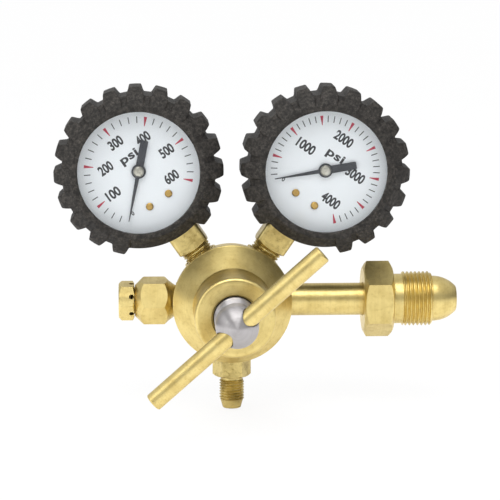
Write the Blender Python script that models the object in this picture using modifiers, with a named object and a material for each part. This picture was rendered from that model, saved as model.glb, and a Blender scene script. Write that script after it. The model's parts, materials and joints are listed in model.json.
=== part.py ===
"""Cylinder gas regulator: a brass body and bonnet with a screw handle, a nut and nipple inlet,
a relief valve, a flare outlet and two dial gauges in toothed rubber boots.

Every piece that comes apart on the bench is an object of its own. Lengths are in metres and +Z is
up. The world origin is the tip of the inlet nipple, where the regulator seats in a cylinder valve.
Inside the model, "height" is the distance in front of the port plane, towards the handle, and
"reach" is the distance from the body's axis along a port.
"""

import math

import bmesh
import bpy
from mathutils import Matrix, Vector

FIT = 0.0003

# Body, seen from its axis: heights count forward from the plane of the ports
SHOULDER_WIDTH = 0.0035
BODY_REAR = -0.0140
BODY_EDGE = 0.0018
SHOULDER_HEIGHT = 0.0082
SPIGOT_WALL = 0.0030
SPIGOT_LENGTH = 0.0055
CHAMBER_DEPTH = 0.0022
WELL_RADIUS = 0.0110
WEB_FRONT = 0.0045
WEB_THICKNESS = 0.0045
HIGH_CHAMBER_RADIUS = 0.0065

# Ports in the body's side
PORT_STANDOUT = 0.0010
PORT_WALL = 0.00028
PORT_BOSS_RADIUS = 0.0081
PIPE_THREAD_RADIUS = 0.0068
PIPE_TAPER = 0.0005
HIGH_DRILL_RADIUS = 0.0015
HIGH_DRILL_HEIGHT = -0.0044
LOW_DRILL_RADIUS = 0.0011
LOW_DRILL_HEIGHT = 0.0057

# Bonnet
FLANGE_OVERHANG = 0.0026
FLANGE_THICKNESS = 0.0030
CONE_HEIGHT = 0.0100
NOSE_WALL = 0.0036
NOSE_FILLET = 0.0009
NOSE_FRONT = 0.0454
NOSE_EDGE = 0.0019
SCREW_THREAD_LENGTH = 0.0094
VENT_RADIUS = 0.0010

# Adjusting screw and its bar
SCREW_RADIUS = 0.0092
SCREW_APEX = 0.0730
DOME_HEIGHT = 0.0080
SCREW_NOSE_RADIUS = 0.0045
SCREW_NOSE_LENGTH = 0.0010
BAR_RADIUS = 0.0040
BAR_LENGTH = 0.0956
BAR_DEPTH_BELOW_APEX = 0.0051
BAR_EDGE = 0.0005
BAR_TILT = math.radians(41.5)

# Load spring, its button, the diaphragm and what clamps it
BUTTON_RIM = 0.0017
BUTTON_CLEARANCE = 0.0014
BUTTON_THICKNESS = 0.0025
SPRING_PILOT_LENGTH = 0.0026
RANGE_WIRE_RADIUS = 0.0009
RANGE_COIL_RADIUS = 0.0100
RANGE_COIL_TURNS = 4.0
DIAPHRAGM_THICKNESS = 0.0004
CONVOLUTION_WIDTH = 0.0026
CONVOLUTION_RIM = 0.0025
CONVOLUTION_DEPTH = 0.0010
PLATE_RIM = 0.0015
PLATE_THICKNESS = 0.0020
SLIP_RING_CLEARANCE = 0.0002
SLIP_RING_THICKNESS = 0.0008

# Seat nozzle, valve stem and rear plug
NOZZLE_ACROSS_FLATS = 0.0095
NOZZLE_HEAD = 0.0035
NOZZLE_SHANK_RADIUS = 0.0037
NOZZLE_BORE_RADIUS = 0.0014
NOZZLE_LIP_RADIUS = 0.0022
NOZZLE_STANDOUT = 0.0015
STEM_PIN_RADIUS = 0.0010
STEM_FLANGE_RADIUS = 0.0049
STEM_FLANGE_THICKNESS = 0.0015
STEM_TAIL_RADIUS = 0.0018
STEM_TAIL_LENGTH = 0.0078
SEAT_DISC_RADIUS = 0.0038
SEAT_DISC_THICKNESS = 0.0016
VALVE_WIRE_RADIUS = 0.00035
VALVE_COIL_TURNS = 3.5
PLUG_THREAD_RADIUS = 0.0080
PLUG_THREAD_DEPTH = 0.0045
PLUG_POCKET_DEPTH = 0.0022
PLUG_GUIDE_DEPTH = 0.0025
PLUG_ACROSS_FLATS = 0.01905
PLUG_HEAD = 0.0060
GASKET_THICKNESS = 0.0008
GASKET_WIDTH = 0.0024

# Inlet nipple and nut: reaches count from the body's axis
INLET_REACH = 0.1012
TUBE_RADIUS = 0.00725
NIPPLE_BORE_RADIUS = 0.0020
NIPPLE_NOSE_RADIUS = 0.0102
NIPPLE_TIP_RADIUS = 0.0055
NIPPLE_NOSE_LENGTH = 0.0106
NIPPLE_COLLAR_LENGTH = 0.0083
FILTER_RADIUS = 0.0029
FILTER_LENGTH = 0.0065
FILTER_RECESS = 0.0014
NUT_SETBACK = 0.0233
NUT_HEX_LENGTH = 0.0134
NUT_ACROSS_FLATS = 0.0300
NUT_NECK_RADIUS = 0.0112
NUT_NECK_LENGTH = 0.0045
NUT_THREAD_RADIUS = 0.01225
NUT_THREAD_LENGTH = 0.0131

# Outlet fitting
OUTLET_ACROSS_FLATS = 0.0150
OUTLET_HEX_LENGTH = 0.0094
OUTLET_NECK_RADIUS = 0.0049
OUTLET_RELIEF_LENGTH = 0.0018
OUTLET_THREAD_RADIUS = 0.00555
OUTLET_THREAD_LENGTH = 0.0088
OUTLET_NOSE_LENGTH = 0.0040
OUTLET_TIP_RADIUS = 0.00405
OUTLET_BORE_RADIUS = 0.0022

# Relief valve
RELIEF_ACROSS_FLATS = 0.01905
RELIEF_COLLAR_LENGTH = 0.0030
RELIEF_HEX_LENGTH = 0.0151
RELIEF_COLLAR_RADIUS = 0.0090
RELIEF_BEVEL_RADIUS = 0.0070
RELIEF_TURN = math.radians(22)
RELIEF_BORE_RADIUS = 0.0022
RELIEF_SEAT_SETBACK = 0.0023
RELIEF_GUIDE_RADIUS = 0.0050
RELIEF_CAP_ACROSS_FLATS = 0.0158
RELIEF_CAP_HEX = 0.0070
RELIEF_CAP_SHANK_RADIUS = 0.0060
RELIEF_CAP_SHANK_LENGTH = 0.0067
RELIEF_CAP_BORE_RADIUS = 0.0047
RELIEF_CAP_END_WALL = 0.0017
RELIEF_VENT_RADIUS = 0.0011
RELIEF_VENT_SETBACK = 0.00125
POPPET_RADIUS = 0.0046
POPPET_THICKNESS = 0.0030
POPPET_STEM_RADIUS = 0.0020
POPPET_STEM_LENGTH = 0.0036
RELIEF_WIRE_RADIUS = 0.00045
RELIEF_COIL_RADIUS = 0.0033
RELIEF_COIL_TURNS = 5.5

# Gauges: heights count forward from the port plane, reaches from the gauge's own axis
CASE_RADIUS = 0.0310
CASE_WALL = 0.0008
CASE_BACK = -0.0105
CASE_FRONT = 0.0134
LENS_INSET = 0.0004
LENS_THICKNESS = 0.0012
LENS_SKIRT = 0.0030
DIAL_INSET = 0.0020
DIAL_FRONT = 0.0090
DIAL_THICKNESS = 0.0008
DIAL_START = math.radians(46)
DIAL_SCREW_REACH = 0.0165
DIAL_SCREW_ANGLE = math.radians(17.9)
DIAL_SCREW_RADIUS = 0.0008
DIAL_SCREW_HEAD_RADIUS = 0.0017
DIAL_SCREW_HEAD = 0.0007
DIAL_SCREW_LENGTH = 0.0032

# Gauge socket
SOCKET_WIDTH = 0.0145
SOCKET_CORNER_RADIUS = 0.0096
SOCKET_STANDOUT = 0.0053
SOCKET_INNER_END = 0.0090
SOCKET_TABLE_HEIGHT = 0.0010
SOCKET_TABLE_INSET = 0.0012
SOCKET_BORE_RADIUS = 0.0016
SOCKET_BORE_END = 0.0205
PILLAR_RADIUS = 0.0018

# Gauge movement
MODULE = 0.00028
PINION_TEETH = 12
SECTOR_FULL_TEETH = 84
SECTOR_TEETH = 11
PRESSURE_ANGLE = math.radians(20)
ADDENDUM = 0.85
DEDENDUM = 1.15
BACKLASH = 0.00008
SECTOR_AIM = math.radians(-45)
GEAR_THICKNESS = 0.0008
GEAR_STANDOFF = 0.0009
PINION_FACE = 0.0016
ARBOR_RADIUS = 0.0006
PLATE_SHEET = 0.0008
PLATE_GAP = 0.0037
MOVEMENT_POST_RADIUS = 0.0010
SECTOR_TAIL = 0.0045
LINK_THICKNESS = 0.0005
LINK_WIDTH = 0.0026
LINK_PIN_RADIUS = 0.0005
TUBE_COIL_RADIUS = 0.0205
TUBE_HALF_THICKNESS = 0.0012
TUBE_DEPTH = 0.0080
TUBE_FRONT = 0.0008
TUBE_TIP_ANGLE = math.radians(-15)
HAIRSPRING_WIRE_RADIUS = 0.00013
HAIRSPRING_OUTER_RADIUS = 0.0034
HAIRSPRING_TURNS = 2.5

# Pointer
POINTER_TIP_REACH = 0.0228
POINTER_TAIL_REACH = 0.0139
POINTER_TAIL_WIDTH = 0.0034
POINTER_NECK_WIDTH = 0.0011
POINTER_HUB_RADIUS = 0.0032
POINTER_THICKNESS = 0.0005
POINTER_LIFT = 0.0012
CAP_RADIUS = 0.0024
CAP_THICKNESS = 0.0012

# Rubber boot, with the room that it has to the body and to the other gauge's boot
BOOT_WALL = 0.0026
BOOT_WALL_BACK = 0.0016
BOOT_BACK_LIP = 0.0070
BOOT_LIP = 0.0041
BOOT_LIP_WIDTH = 0.0024
BOOT_LIP_THICKNESS = 0.0028
BOOT_BEVEL = 0.0048
BOOT_TO_BODY = 0.0100
BOOT_TO_BOOT = 0.007545
TOOTH_DEPTH = 0.0036
TOOTH_COUNT = 17
TOOTH_PITCH = math.radians(18.2)
FIRST_TOOTH = math.radians(20)
TOOTH_ROOT_WIDTH = 0.0072
TOOTH_TIP_WIDTH = 0.0049
TOOTH_LIP_WIDTH = 0.0060
TOOTH_FRONT_SLOPE = 0.0070
TOOTH_BACK_SLOPE = 0.0030
TOOTH_SHOULDER_INSET = 0.0013
TOOTH_SHOULDER_DROP = 0.0050
TOOTH_LIP_STEP = 0.0009
TOOTH_LIP_DROP = 0.0004
TOOTH_BASE_OVERHANG = 0.0007

# Facets round a turned piece
LARGE_STEPS = 24
MEDIUM_STEPS = 18
SMALL_STEPS = 12
TINY_STEPS = 6

# Turns of a turned piece's axis from +Z to the side that it points at
TO_FRONT = Matrix.Rotation(math.pi / 2, 4, "X")
TO_RIGHT = Matrix.Rotation(math.pi / 2, 4, "Y")
TO_LEFT = Matrix.Rotation(-math.pi / 2, 4, "Y")
DOWN = Matrix.Rotation(math.pi, 4, "X")

# Sizes that follow from the ones above
PLATE_RADIUS = RANGE_COIL_RADIUS + RANGE_WIRE_RADIUS + PLATE_RIM
CONVOLUTION_RADIUS = PLATE_RADIUS + CONVOLUTION_WIDTH
CHAMBER_RADIUS = CONVOLUTION_RADIUS + CONVOLUTION_RIM
SLIP_RING_BORE = CONVOLUTION_RADIUS + SLIP_RING_CLEARANCE
SPIGOT_RADIUS = CHAMBER_RADIUS + SPIGOT_WALL
BODY_RADIUS = SPIGOT_RADIUS + SHOULDER_WIDTH
FLANGE_RADIUS = BODY_RADIUS + FLANGE_OVERHANG
BUTTON_RADIUS = RANGE_COIL_RADIUS + RANGE_WIRE_RADIUS + BUTTON_RIM
SPRING_CHAMBER_RADIUS = BUTTON_RADIUS + BUTTON_CLEARANCE
NOSE_RADIUS = SPRING_CHAMBER_RADIUS + NOSE_WALL
PORT_FACE = BODY_RADIUS + PORT_STANDOUT
SPIGOT_FRONT = SHOULDER_HEIGHT + SPIGOT_LENGTH
DIAPHRAGM_BACK = SPIGOT_FRONT + FIT
DIAPHRAGM_FRONT = DIAPHRAGM_BACK + DIAPHRAGM_THICKNESS
PLATE_BACK = DIAPHRAGM_FRONT + FIT
PLATE_FRONT = PLATE_BACK + PLATE_THICKNESS
BONNET_BACK = SHOULDER_HEIGHT + FIT
BONNET_STEP = PLATE_BACK + SLIP_RING_THICKNESS + FIT
SPRING_CHAMBER_TOP = NOSE_FRONT - SCREW_THREAD_LENGTH
BUTTON_FRONT = SPRING_CHAMBER_TOP - 2 * FIT
BUTTON_BACK = BUTTON_FRONT - BUTTON_THICKNESS
WEB_REAR = WEB_FRONT - WEB_THICKNESS
NOZZLE_REAR = WEB_REAR - NOZZLE_STANDOUT
SEAT_FRONT = NOZZLE_REAR - FIT
SEAT_REAR = SEAT_FRONT - SEAT_DISC_THICKNESS
STEM_FLANGE_FRONT = SEAT_REAR - FIT
STEM_FLANGE_REAR = STEM_FLANGE_FRONT - STEM_FLANGE_THICKNESS
PLUG_STEP = BODY_REAR + PLUG_THREAD_DEPTH
PLUG_FRONT = PLUG_STEP - FIT
PLUG_POCKET_FLOOR = PLUG_FRONT - PLUG_POCKET_DEPTH
GASKET_FRONT = BODY_REAR - FIT
GASKET_REAR = GASKET_FRONT - GASKET_THICKNESS
PLUG_HEAD_FRONT = GASKET_REAR - FIT
PIPE_BORE_RADIUS = PIPE_THREAD_RADIUS + FIT
PIPE_SHOULDER = PORT_FACE + FIT
NUT_START = INLET_REACH - NIPPLE_NOSE_LENGTH - NIPPLE_COLLAR_LENGTH - NUT_SETBACK
OUTLET_HEX_END = PIPE_SHOULDER + OUTLET_HEX_LENGTH
OUTLET_THREAD_START = OUTLET_HEX_END + OUTLET_RELIEF_LENGTH
RELIEF_HEX_START = PIPE_SHOULDER + RELIEF_COLLAR_LENGTH
RELIEF_HEX_END = RELIEF_HEX_START + RELIEF_HEX_LENGTH
RELIEF_SEAT_REACH = RELIEF_HEX_START + RELIEF_SEAT_SETBACK
BAR_HEIGHT = SCREW_APEX - BAR_DEPTH_BELOW_APEX
DIAL_BACK = DIAL_FRONT - DIAL_THICKNESS
PINION_RADIUS = MODULE * PINION_TEETH / 2
SECTOR_RADIUS = MODULE * SECTOR_FULL_TEETH / 2
BACK_PLATE = SOCKET_TABLE_HEIGHT + FIT
BACK_PLATE_FRONT = BACK_PLATE + PLATE_SHEET
FRONT_PLATE = BACK_PLATE_FRONT + PLATE_GAP
GEAR_HEIGHT = BACK_PLATE_FRONT + GEAR_STANDOFF
LENS_SEAT = CASE_FRONT + FIT + LENS_THICKNESS + FIT
LENS_RADIUS = CASE_RADIUS - LENS_INSET
DIAL_RADIUS = CASE_RADIUS - CASE_WALL - DIAL_INSET
POINTER_BACK = DIAL_FRONT + POINTER_LIFT
POINTER_FRONT = POINTER_BACK + POINTER_THICKNESS
BOOT_FRONT = LENS_SEAT + BOOT_LIP_THICKNESS
BOOT_BEVEL_HEIGHT = BOOT_FRONT - BOOT_BEVEL
BOOT_BACK_OPENING = CASE_RADIUS - BOOT_BACK_LIP
BOOT_LIP_RADIUS = CASE_RADIUS - BOOT_LIP
BOOT_LIP_FACE = BOOT_LIP_RADIUS + BOOT_LIP_WIDTH
BOOT_ROOT_RADIUS = CASE_RADIUS + FIT + BOOT_WALL
BOOT_TIP_RADIUS = BOOT_ROOT_RADIUS + TOOTH_DEPTH
TOOTH_FRONT = BOOT_FRONT - TOOTH_FRONT_SLOPE
TOOTH_BACK = CASE_BACK + TOOTH_BACK_SLOPE
TOOTH_BASE_HEIGHT = CASE_BACK - TOOTH_BASE_OVERHANG
TOOTH_SHOULDER_RADIUS = BOOT_TIP_RADIUS - TOOTH_SHOULDER_INSET
TOOTH_SHOULDER_HEIGHT = BOOT_FRONT - TOOTH_SHOULDER_DROP
TOOTH_LIP_RADIUS = BOOT_LIP_FACE + TOOTH_LIP_STEP
TOOTH_LIP_HEIGHT = BOOT_FRONT - TOOTH_LIP_DROP
GAUGE_REACH = PORT_FACE + BOOT_TO_BODY + BOOT_TIP_RADIUS
GAUGE_LEAN = math.asin((BOOT_TIP_RADIUS + BOOT_TO_BOOT / 2) / GAUGE_REACH)
NEAREST_PORTS = min(math.pi / 2 - GAUGE_LEAN, 2 * GAUGE_LEAN)
PORT_FLOOR = (PIPE_BORE_RADIUS + PORT_WALL / 2) / math.sin(NEAREST_PORTS / 2)
PIPE_END = PORT_FLOOR + FIT
SOCKET_SQUARE_END = GAUGE_REACH - PORT_FACE - SOCKET_STANDOUT
SOCKET_TABLE_END = CASE_RADIUS - CASE_WALL - SOCKET_TABLE_INSET


def clear_scene():
    for thing in list(bpy.data.objects):
        bpy.data.objects.remove(thing, do_unlink=True)


def new_collection(name):
    group = bpy.data.collections.new(name)
    bpy.context.scene.collection.children.link(group)
    return group


def finish(name, red, green, blue, roughness, metallic=1.0, alpha=1.0):
    """A Principled material: its colour, roughness and how metallic it is."""
    surface = bpy.data.materials.new(name)
    surface.use_nodes = True
    shader = surface.node_tree.nodes["Principled BSDF"]
    shader.inputs["Base Color"].default_value = (red, green, blue, 1)
    shader.inputs["Roughness"].default_value = roughness
    shader.inputs["Metallic"].default_value = metallic
    shader.inputs["Alpha"].default_value = alpha
    return surface


def place(thing, frame, turn=Matrix.Identity(4), at=(0, 0, 0), spin=0.0):
    """Put an object in a frame: its axis turned to a side, spun about it, and moved to a point."""
    thing.parent = frame
    thing.matrix_local = Matrix.Translation(at) @ turn @ Matrix.Rotation(spin, 4, "Z")
    return thing


def turned(name, profile, steps):
    """A solid of revolution. The profile of (radius, height) runs down the outer side. One that
    starts and ends on the axis is a solid, and any other is a closed loop that makes a ring."""
    closed = profile[0][0] > 0
    mesh = bpy.data.meshes.new(name)
    count = len(profile)
    edges = [(i, i + 1) for i in range(count - 1)]
    if closed:
        edges.append((count - 1, 0))
    mesh.from_pydata([(radius, 0, height) for radius, height in profile], edges, [])
    thing = bpy.data.objects.new(name, mesh)
    screw = thing.modifiers.new("Turn", "SCREW")
    screw.steps = steps
    screw.render_steps = steps
    screw.use_merge_vertices = True
    screw.merge_threshold = 0.000001
    return thing


def arc(radius, height, size, start, end, count):
    """Points of (radius, height) on a circle of this size, between two angles in degrees."""
    points = []
    for i in range(count + 1):
        angle = math.radians(start + (end - start) * i / count)
        points.append((radius + size * math.cos(angle), height + size * math.sin(angle)))
    return points


def slab(name, outline, low, high, holes=()):
    """A flat outline, with round holes of (x, y, radius), made solid between two heights."""
    curve = bpy.data.curves.new(name, "CURVE")
    curve.dimensions = "2D"
    curve.fill_mode = "BOTH"
    curve.extrude = (high - low) / 2
    add_loop(curve, outline)
    for x, y, radius in holes:
        add_loop(curve, circle(x, y, radius, TINY_STEPS))
    return as_mesh(name, curve, (low + high) / 2)


def add_loop(curve, points):
    spline = curve.splines.new("POLY")
    spline.points.add(len(points) - 1)
    for point, (x, y) in zip(spline.points, points):
        point.co = (x, y, 0, 1)
    spline.use_cyclic_u = True


def circle(x, y, radius, count):
    step = 2 * math.pi / count
    return [(x + radius * math.cos(i * step), y + radius * math.sin(i * step)) for i in range(count)]


def as_mesh(name, curve, lift=0.0):
    """A curve's evaluated mesh, with its caps welded on, in place of the curve."""
    source = bpy.data.objects.new(name, curve)
    bpy.context.scene.collection.objects.link(source)
    graph = bpy.context.evaluated_depsgraph_get()
    mesh = bpy.data.meshes.new_from_object(source.evaluated_get(graph))
    bpy.data.objects.remove(source)
    form = bmesh.new()
    form.from_mesh(mesh)
    bmesh.ops.remove_doubles(form, verts=form.verts, dist=0.000001)
    bmesh.ops.translate(form, verts=form.verts, vec=(0, 0, lift))
    bmesh.ops.recalc_face_normals(form, faces=form.faces)
    form.to_mesh(mesh)
    form.free()
    return bpy.data.objects.new(name, mesh)


def rods(name, ends, steps):
    """Straight round rods of (start, end, radius), in one mesh."""
    form = bmesh.new()
    for start, end, radius in ends:
        start = Vector(start)
        along = Vector(end) - start
        turn = along.to_track_quat("Z", "Y").to_matrix().to_4x4()
        middle = Matrix.Translation(start + along / 2)
        bmesh.ops.create_cone(form, cap_ends=True, segments=steps, radius1=radius, radius2=radius,
                              depth=along.length, matrix=middle @ turn)
    mesh = bpy.data.meshes.new(name)
    form.to_mesh(mesh)
    form.free()
    return bpy.data.objects.new(name, mesh)


def block(name, low, high):
    """A box between two corners."""
    form = bmesh.new()
    size = [b - a for a, b in zip(low, high)]
    middle = [(a + b) / 2 for a, b in zip(low, high)]
    bmesh.ops.create_cube(form, size=1, matrix=Matrix.Translation(middle) @ Matrix.Diagonal((*size, 1)))
    mesh = bpy.data.meshes.new(name)
    form.to_mesh(mesh)
    form.free()
    return bpy.data.objects.new(name, mesh)


def flats(name, sides, across, low, high, outside):
    """A cutter that leaves flats: a ring with that many sides, open to the width across flats."""
    corner = across / 2 / math.cos(math.pi / sides)
    return turned(name, [(corner, high), (outside, high), (outside, low), (corner, low)], sides)


def combine(thing, other, operation):
    """Cut, join or keep the common part with another object, by an exact Boolean."""
    step = thing.modifiers.new(operation.title(), "BOOLEAN")
    step.operation = operation
    step.solver = "EXACT"
    step.object = other
    other.hide_render = True
    other.display_type = "WIRE"
    cutters.objects.link(other)


def add_part(thing, surface):
    """Give a piece its finish and put it in the regulator's collection."""
    thing.data.materials.append(surface)
    if thing.type == "MESH" and thing.data.polygons:
        thing.data.shade_smooth()
        thing.data.set_sharp_from_angle(angle=math.radians(35))
    parts.objects.link(thing)
    return thing


def coil(name, radius, wire, low, high, turns, per_turn):
    """A compression spring with closed end turns, between two seats. Its height rises slowly over
    the first and last three quarters of a turn, and evenly between them."""
    end_turns = 0.75
    end_pitch = 2.3 * wire
    rise = high - low - 2 * wire
    pitch = (rise - 2 * end_turns * end_pitch) / (turns - 2 * end_turns)
    curve = tube_curve(name, wire, 1)
    points = []
    for i in range(round(turns * per_turn) + 1):
        turn = i / per_turn
        height = low + wire + min(turn, end_turns) * end_pitch
        height += max(0.0, min(turn, turns - end_turns) - end_turns) * pitch
        height += max(0.0, turn - turns + end_turns) * end_pitch
        angle = 2 * math.pi * turn
        points.append((radius * math.cos(angle), radius * math.sin(angle), height))
    add_path(curve, points)
    return bpy.data.objects.new(name, curve)


def tube_curve(name, radius, resolution):
    curve = bpy.data.curves.new(name, "CURVE")
    curve.dimensions = "3D"
    curve.fill_mode = "FULL"
    curve.bevel_depth = radius
    curve.bevel_resolution = resolution
    curve.use_fill_caps = True
    return curve


def add_path(curve, points):
    spline = curve.splines.new("POLY")
    spline.points.add(len(points) - 1)
    for point, place_at in zip(spline.points, points):
        point.co = (*place_at, 1)


def on_side(angle, reach, height):
    """A point beside the body's axis: the angle runs from +X towards +Z."""
    return (reach * math.cos(angle), -height, reach * math.sin(angle))


def port_angles():
    """The five ports: the inlet and its gauge on the high side, and three on the low side."""
    high = (0, math.pi / 2 - GAUGE_LEAN)
    low = (math.pi, math.pi / 2 + GAUGE_LEAN, -math.pi / 2)
    return high, low


def body(core):
    profile = [
        (CHAMBER_RADIUS, SPIGOT_FRONT),
        (SPIGOT_RADIUS, SPIGOT_FRONT),
        (SPIGOT_RADIUS, SHOULDER_HEIGHT),
        (BODY_RADIUS, SHOULDER_HEIGHT),
        (BODY_RADIUS, BODY_REAR + BODY_EDGE),
        (BODY_RADIUS - BODY_EDGE, BODY_REAR),
        (PLUG_THREAD_RADIUS + FIT, BODY_REAR),
        (PLUG_THREAD_RADIUS + FIT, PLUG_STEP),
        (HIGH_CHAMBER_RADIUS, PLUG_STEP),
        (HIGH_CHAMBER_RADIUS, WEB_REAR),
        (NOZZLE_SHANK_RADIUS + FIT, WEB_REAR),
        (NOZZLE_SHANK_RADIUS + FIT, WEB_FRONT),
        (WELL_RADIUS, WEB_FRONT),
        (WELL_RADIUS, SPIGOT_FRONT - CHAMBER_DEPTH),
        (CHAMBER_RADIUS, SPIGOT_FRONT - CHAMBER_DEPTH),
    ]
    thing = place(turned("body", profile, LARGE_STEPS), core, TO_FRONT)
    high, low = port_angles()
    boss_root = PORT_FACE - 0.25 * BODY_RADIUS
    bosses = [(on_side(a, boss_root, 0), on_side(a, PORT_FACE, 0), PORT_BOSS_RADIUS) for a in high + low]
    combine(thing, place(rods("port_bosses", bosses, MEDIUM_STEPS), core), "UNION")
    beyond = PORT_FACE + BODY_EDGE
    bores = [(on_side(a, PORT_FLOOR, 0), on_side(a, beyond, 0), PIPE_BORE_RADIUS) for a in high + low]
    combine(thing, place(rods("port_bores", bores, MEDIUM_STEPS), core), "DIFFERENCE")
    drills = [
        (on_side(a, HIGH_CHAMBER_RADIUS - HIGH_DRILL_RADIUS, HIGH_DRILL_HEIGHT),
         on_side(a, PORT_FLOOR + HIGH_DRILL_RADIUS, HIGH_DRILL_HEIGHT), HIGH_DRILL_RADIUS)
        for a in high
    ]
    drills += [
        (on_side(a, WELL_RADIUS - LOW_DRILL_RADIUS, LOW_DRILL_HEIGHT),
         on_side(a, PORT_FLOOR + LOW_DRILL_RADIUS, LOW_DRILL_HEIGHT), LOW_DRILL_RADIUS)
        for a in low
    ]
    combine(thing, place(rods("port_drillings", drills, TINY_STEPS), core), "DIFFERENCE")
    return add_part(thing, brass)


def bonnet(core):
    """A cap screwed over the body's spigot: a flange, a cone and a nose that carries the screw."""
    flange_front = BONNET_BACK + FLANGE_THICKNESS
    edge = FLANGE_THICKNESS / 8
    cone_foot = flange_front + edge
    cone_top = cone_foot + CONE_HEIGHT
    screw_hole = SCREW_RADIUS + FIT
    mouth = screw_hole + 2 * FIT
    spigot_hole = SPIGOT_RADIUS + FIT
    profile = [(mouth, NOSE_FRONT)]
    profile += arc(NOSE_RADIUS - NOSE_EDGE, NOSE_FRONT - NOSE_EDGE, NOSE_EDGE, 90, 0, 2)
    profile += [
        (NOSE_RADIUS, cone_top + NOSE_FILLET),
        (NOSE_RADIUS + NOSE_FILLET / 3, cone_top),
        (FLANGE_RADIUS - edge, cone_foot),
        (FLANGE_RADIUS, flange_front),
        (FLANGE_RADIUS, BONNET_BACK + edge),
        (FLANGE_RADIUS - edge, BONNET_BACK),
        (spigot_hole, BONNET_BACK),
        (spigot_hole, BONNET_STEP),
        (SPRING_CHAMBER_RADIUS, BONNET_STEP),
        (SPRING_CHAMBER_RADIUS, SPRING_CHAMBER_TOP),
        (screw_hole, SPRING_CHAMBER_TOP),
        (screw_hole, NOSE_FRONT - SCREW_THREAD_LENGTH / 5),
        (mouth, NOSE_FRONT - SCREW_THREAD_LENGTH / 5),
    ]
    thing = place(turned("bonnet", profile, LARGE_STEPS), core, TO_FRONT)
    vent_height = (cone_top + SPRING_CHAMBER_TOP) / 2
    vent = (on_side(-math.pi / 2, SPRING_CHAMBER_RADIUS - VENT_RADIUS, vent_height),
            on_side(-math.pi / 2, NOSE_RADIUS + VENT_RADIUS, vent_height), VENT_RADIUS)
    combine(thing, place(rods("bonnet_vent", [vent], TINY_STEPS), core), "DIFFERENCE")
    return add_part(thing, brass)


def adjusting_screw(core):
    """A threaded barrel with a domed end, cross drilled for the bar."""
    dome_foot = SCREW_APEX - DOME_HEIGHT
    nose_end = BUTTON_FRONT + FIT
    barrel_end = nose_end + SCREW_NOSE_LENGTH
    edge = SCREW_RADIUS / 10
    dome = []
    for i in range(6):
        angle = math.pi / 2 * (1 - i / 5)
        dome.append((SCREW_RADIUS * math.cos(angle), dome_foot + DOME_HEIGHT * math.sin(angle)))
    dome[0] = (0, SCREW_APEX)
    profile = dome + [
        (SCREW_RADIUS, barrel_end + edge),
        (SCREW_RADIUS - edge, barrel_end),
        (SCREW_NOSE_RADIUS, barrel_end),
        (SCREW_NOSE_RADIUS, nose_end),
        (0, nose_end),
    ]
    thing = place(turned("adjusting_screw", profile, MEDIUM_STEPS), core, TO_FRONT)
    across = Vector((math.cos(BAR_TILT), 0, math.sin(BAR_TILT))) * SCREW_RADIUS * 1.5
    middle = Vector((0, -BAR_HEIGHT, 0))
    hole = (middle - across, middle + across, BAR_RADIUS + FIT)
    combine(thing, place(rods("bar_hole", [hole], SMALL_STEPS), core), "DIFFERENCE")
    return add_part(thing, steel)


def tee_bar(core):
    half = BAR_LENGTH / 2
    profile = [
        (0, half),
        (BAR_RADIUS - BAR_EDGE, half),
        (BAR_RADIUS, half - BAR_EDGE),
        (BAR_RADIUS, BAR_EDGE - half),
        (BAR_RADIUS - BAR_EDGE, -half),
        (0, -half),
    ]
    lean = Matrix.Rotation(math.pi / 2 - BAR_TILT, 4, "Y")
    thing = place(turned("tee_bar", profile, SMALL_STEPS), core, lean, (0, -BAR_HEIGHT, 0))
    return add_part(thing, brass)


def spring_button(core):
    """The disc between the screw and the load spring, with a pilot that centres the spring."""
    pilot = RANGE_COIL_RADIUS - RANGE_WIRE_RADIUS - 2 * FIT
    profile = [
        (0, BUTTON_FRONT),
        (BUTTON_RADIUS, BUTTON_FRONT),
        (BUTTON_RADIUS, BUTTON_BACK),
        (pilot, BUTTON_BACK),
        (pilot - FIT, BUTTON_BACK - SPRING_PILOT_LENGTH),
        (0, BUTTON_BACK - SPRING_PILOT_LENGTH),
    ]
    return add_part(place(turned("spring_button", profile, MEDIUM_STEPS), core, TO_FRONT), steel)


def range_spring(core):
    thing = coil("range_spring", RANGE_COIL_RADIUS, RANGE_WIRE_RADIUS, PLATE_FRONT + FIT,
                 BUTTON_BACK - FIT, RANGE_COIL_TURNS, 10)
    return add_part(place(thing, core, TO_FRONT), spring_steel)


def diaphragm_plate(core):
    pilot = RANGE_COIL_RADIUS - RANGE_WIRE_RADIUS - 2 * FIT
    profile = [
        (0, PLATE_FRONT + SPRING_PILOT_LENGTH),
        (pilot - FIT, PLATE_FRONT + SPRING_PILOT_LENGTH),
        (pilot, PLATE_FRONT),
        (PLATE_RADIUS, PLATE_FRONT),
        (PLATE_RADIUS, PLATE_BACK),
        (0, PLATE_BACK),
    ]
    return add_part(place(turned("diaphragm_plate", profile, MEDIUM_STEPS), core, TO_FRONT), brass)


def diaphragm(core):
    """A thin disc with one round convolution, clamped at its rim."""
    rim = SPIGOT_RADIUS - FIT
    half = CONVOLUTION_RADIUS - PLATE_RADIUS
    front = []
    for i in range(5):
        share = i / 4
        radius = CONVOLUTION_RADIUS + half * (1 - 2 * share)
        sag = CONVOLUTION_DEPTH * math.sin(math.pi * share)
        front.append((radius, -sag))
    profile = [(0, DIAPHRAGM_FRONT)]
    profile += [(radius, DIAPHRAGM_FRONT + sag) for radius, sag in reversed(front)]
    profile += [(rim, DIAPHRAGM_FRONT), (rim, DIAPHRAGM_BACK)]
    profile += [(radius, DIAPHRAGM_BACK + sag) for radius, sag in front]
    profile += [(0, DIAPHRAGM_BACK)]
    return add_part(place(turned("diaphragm", profile, MEDIUM_STEPS), core, TO_FRONT), thin_steel)


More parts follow.
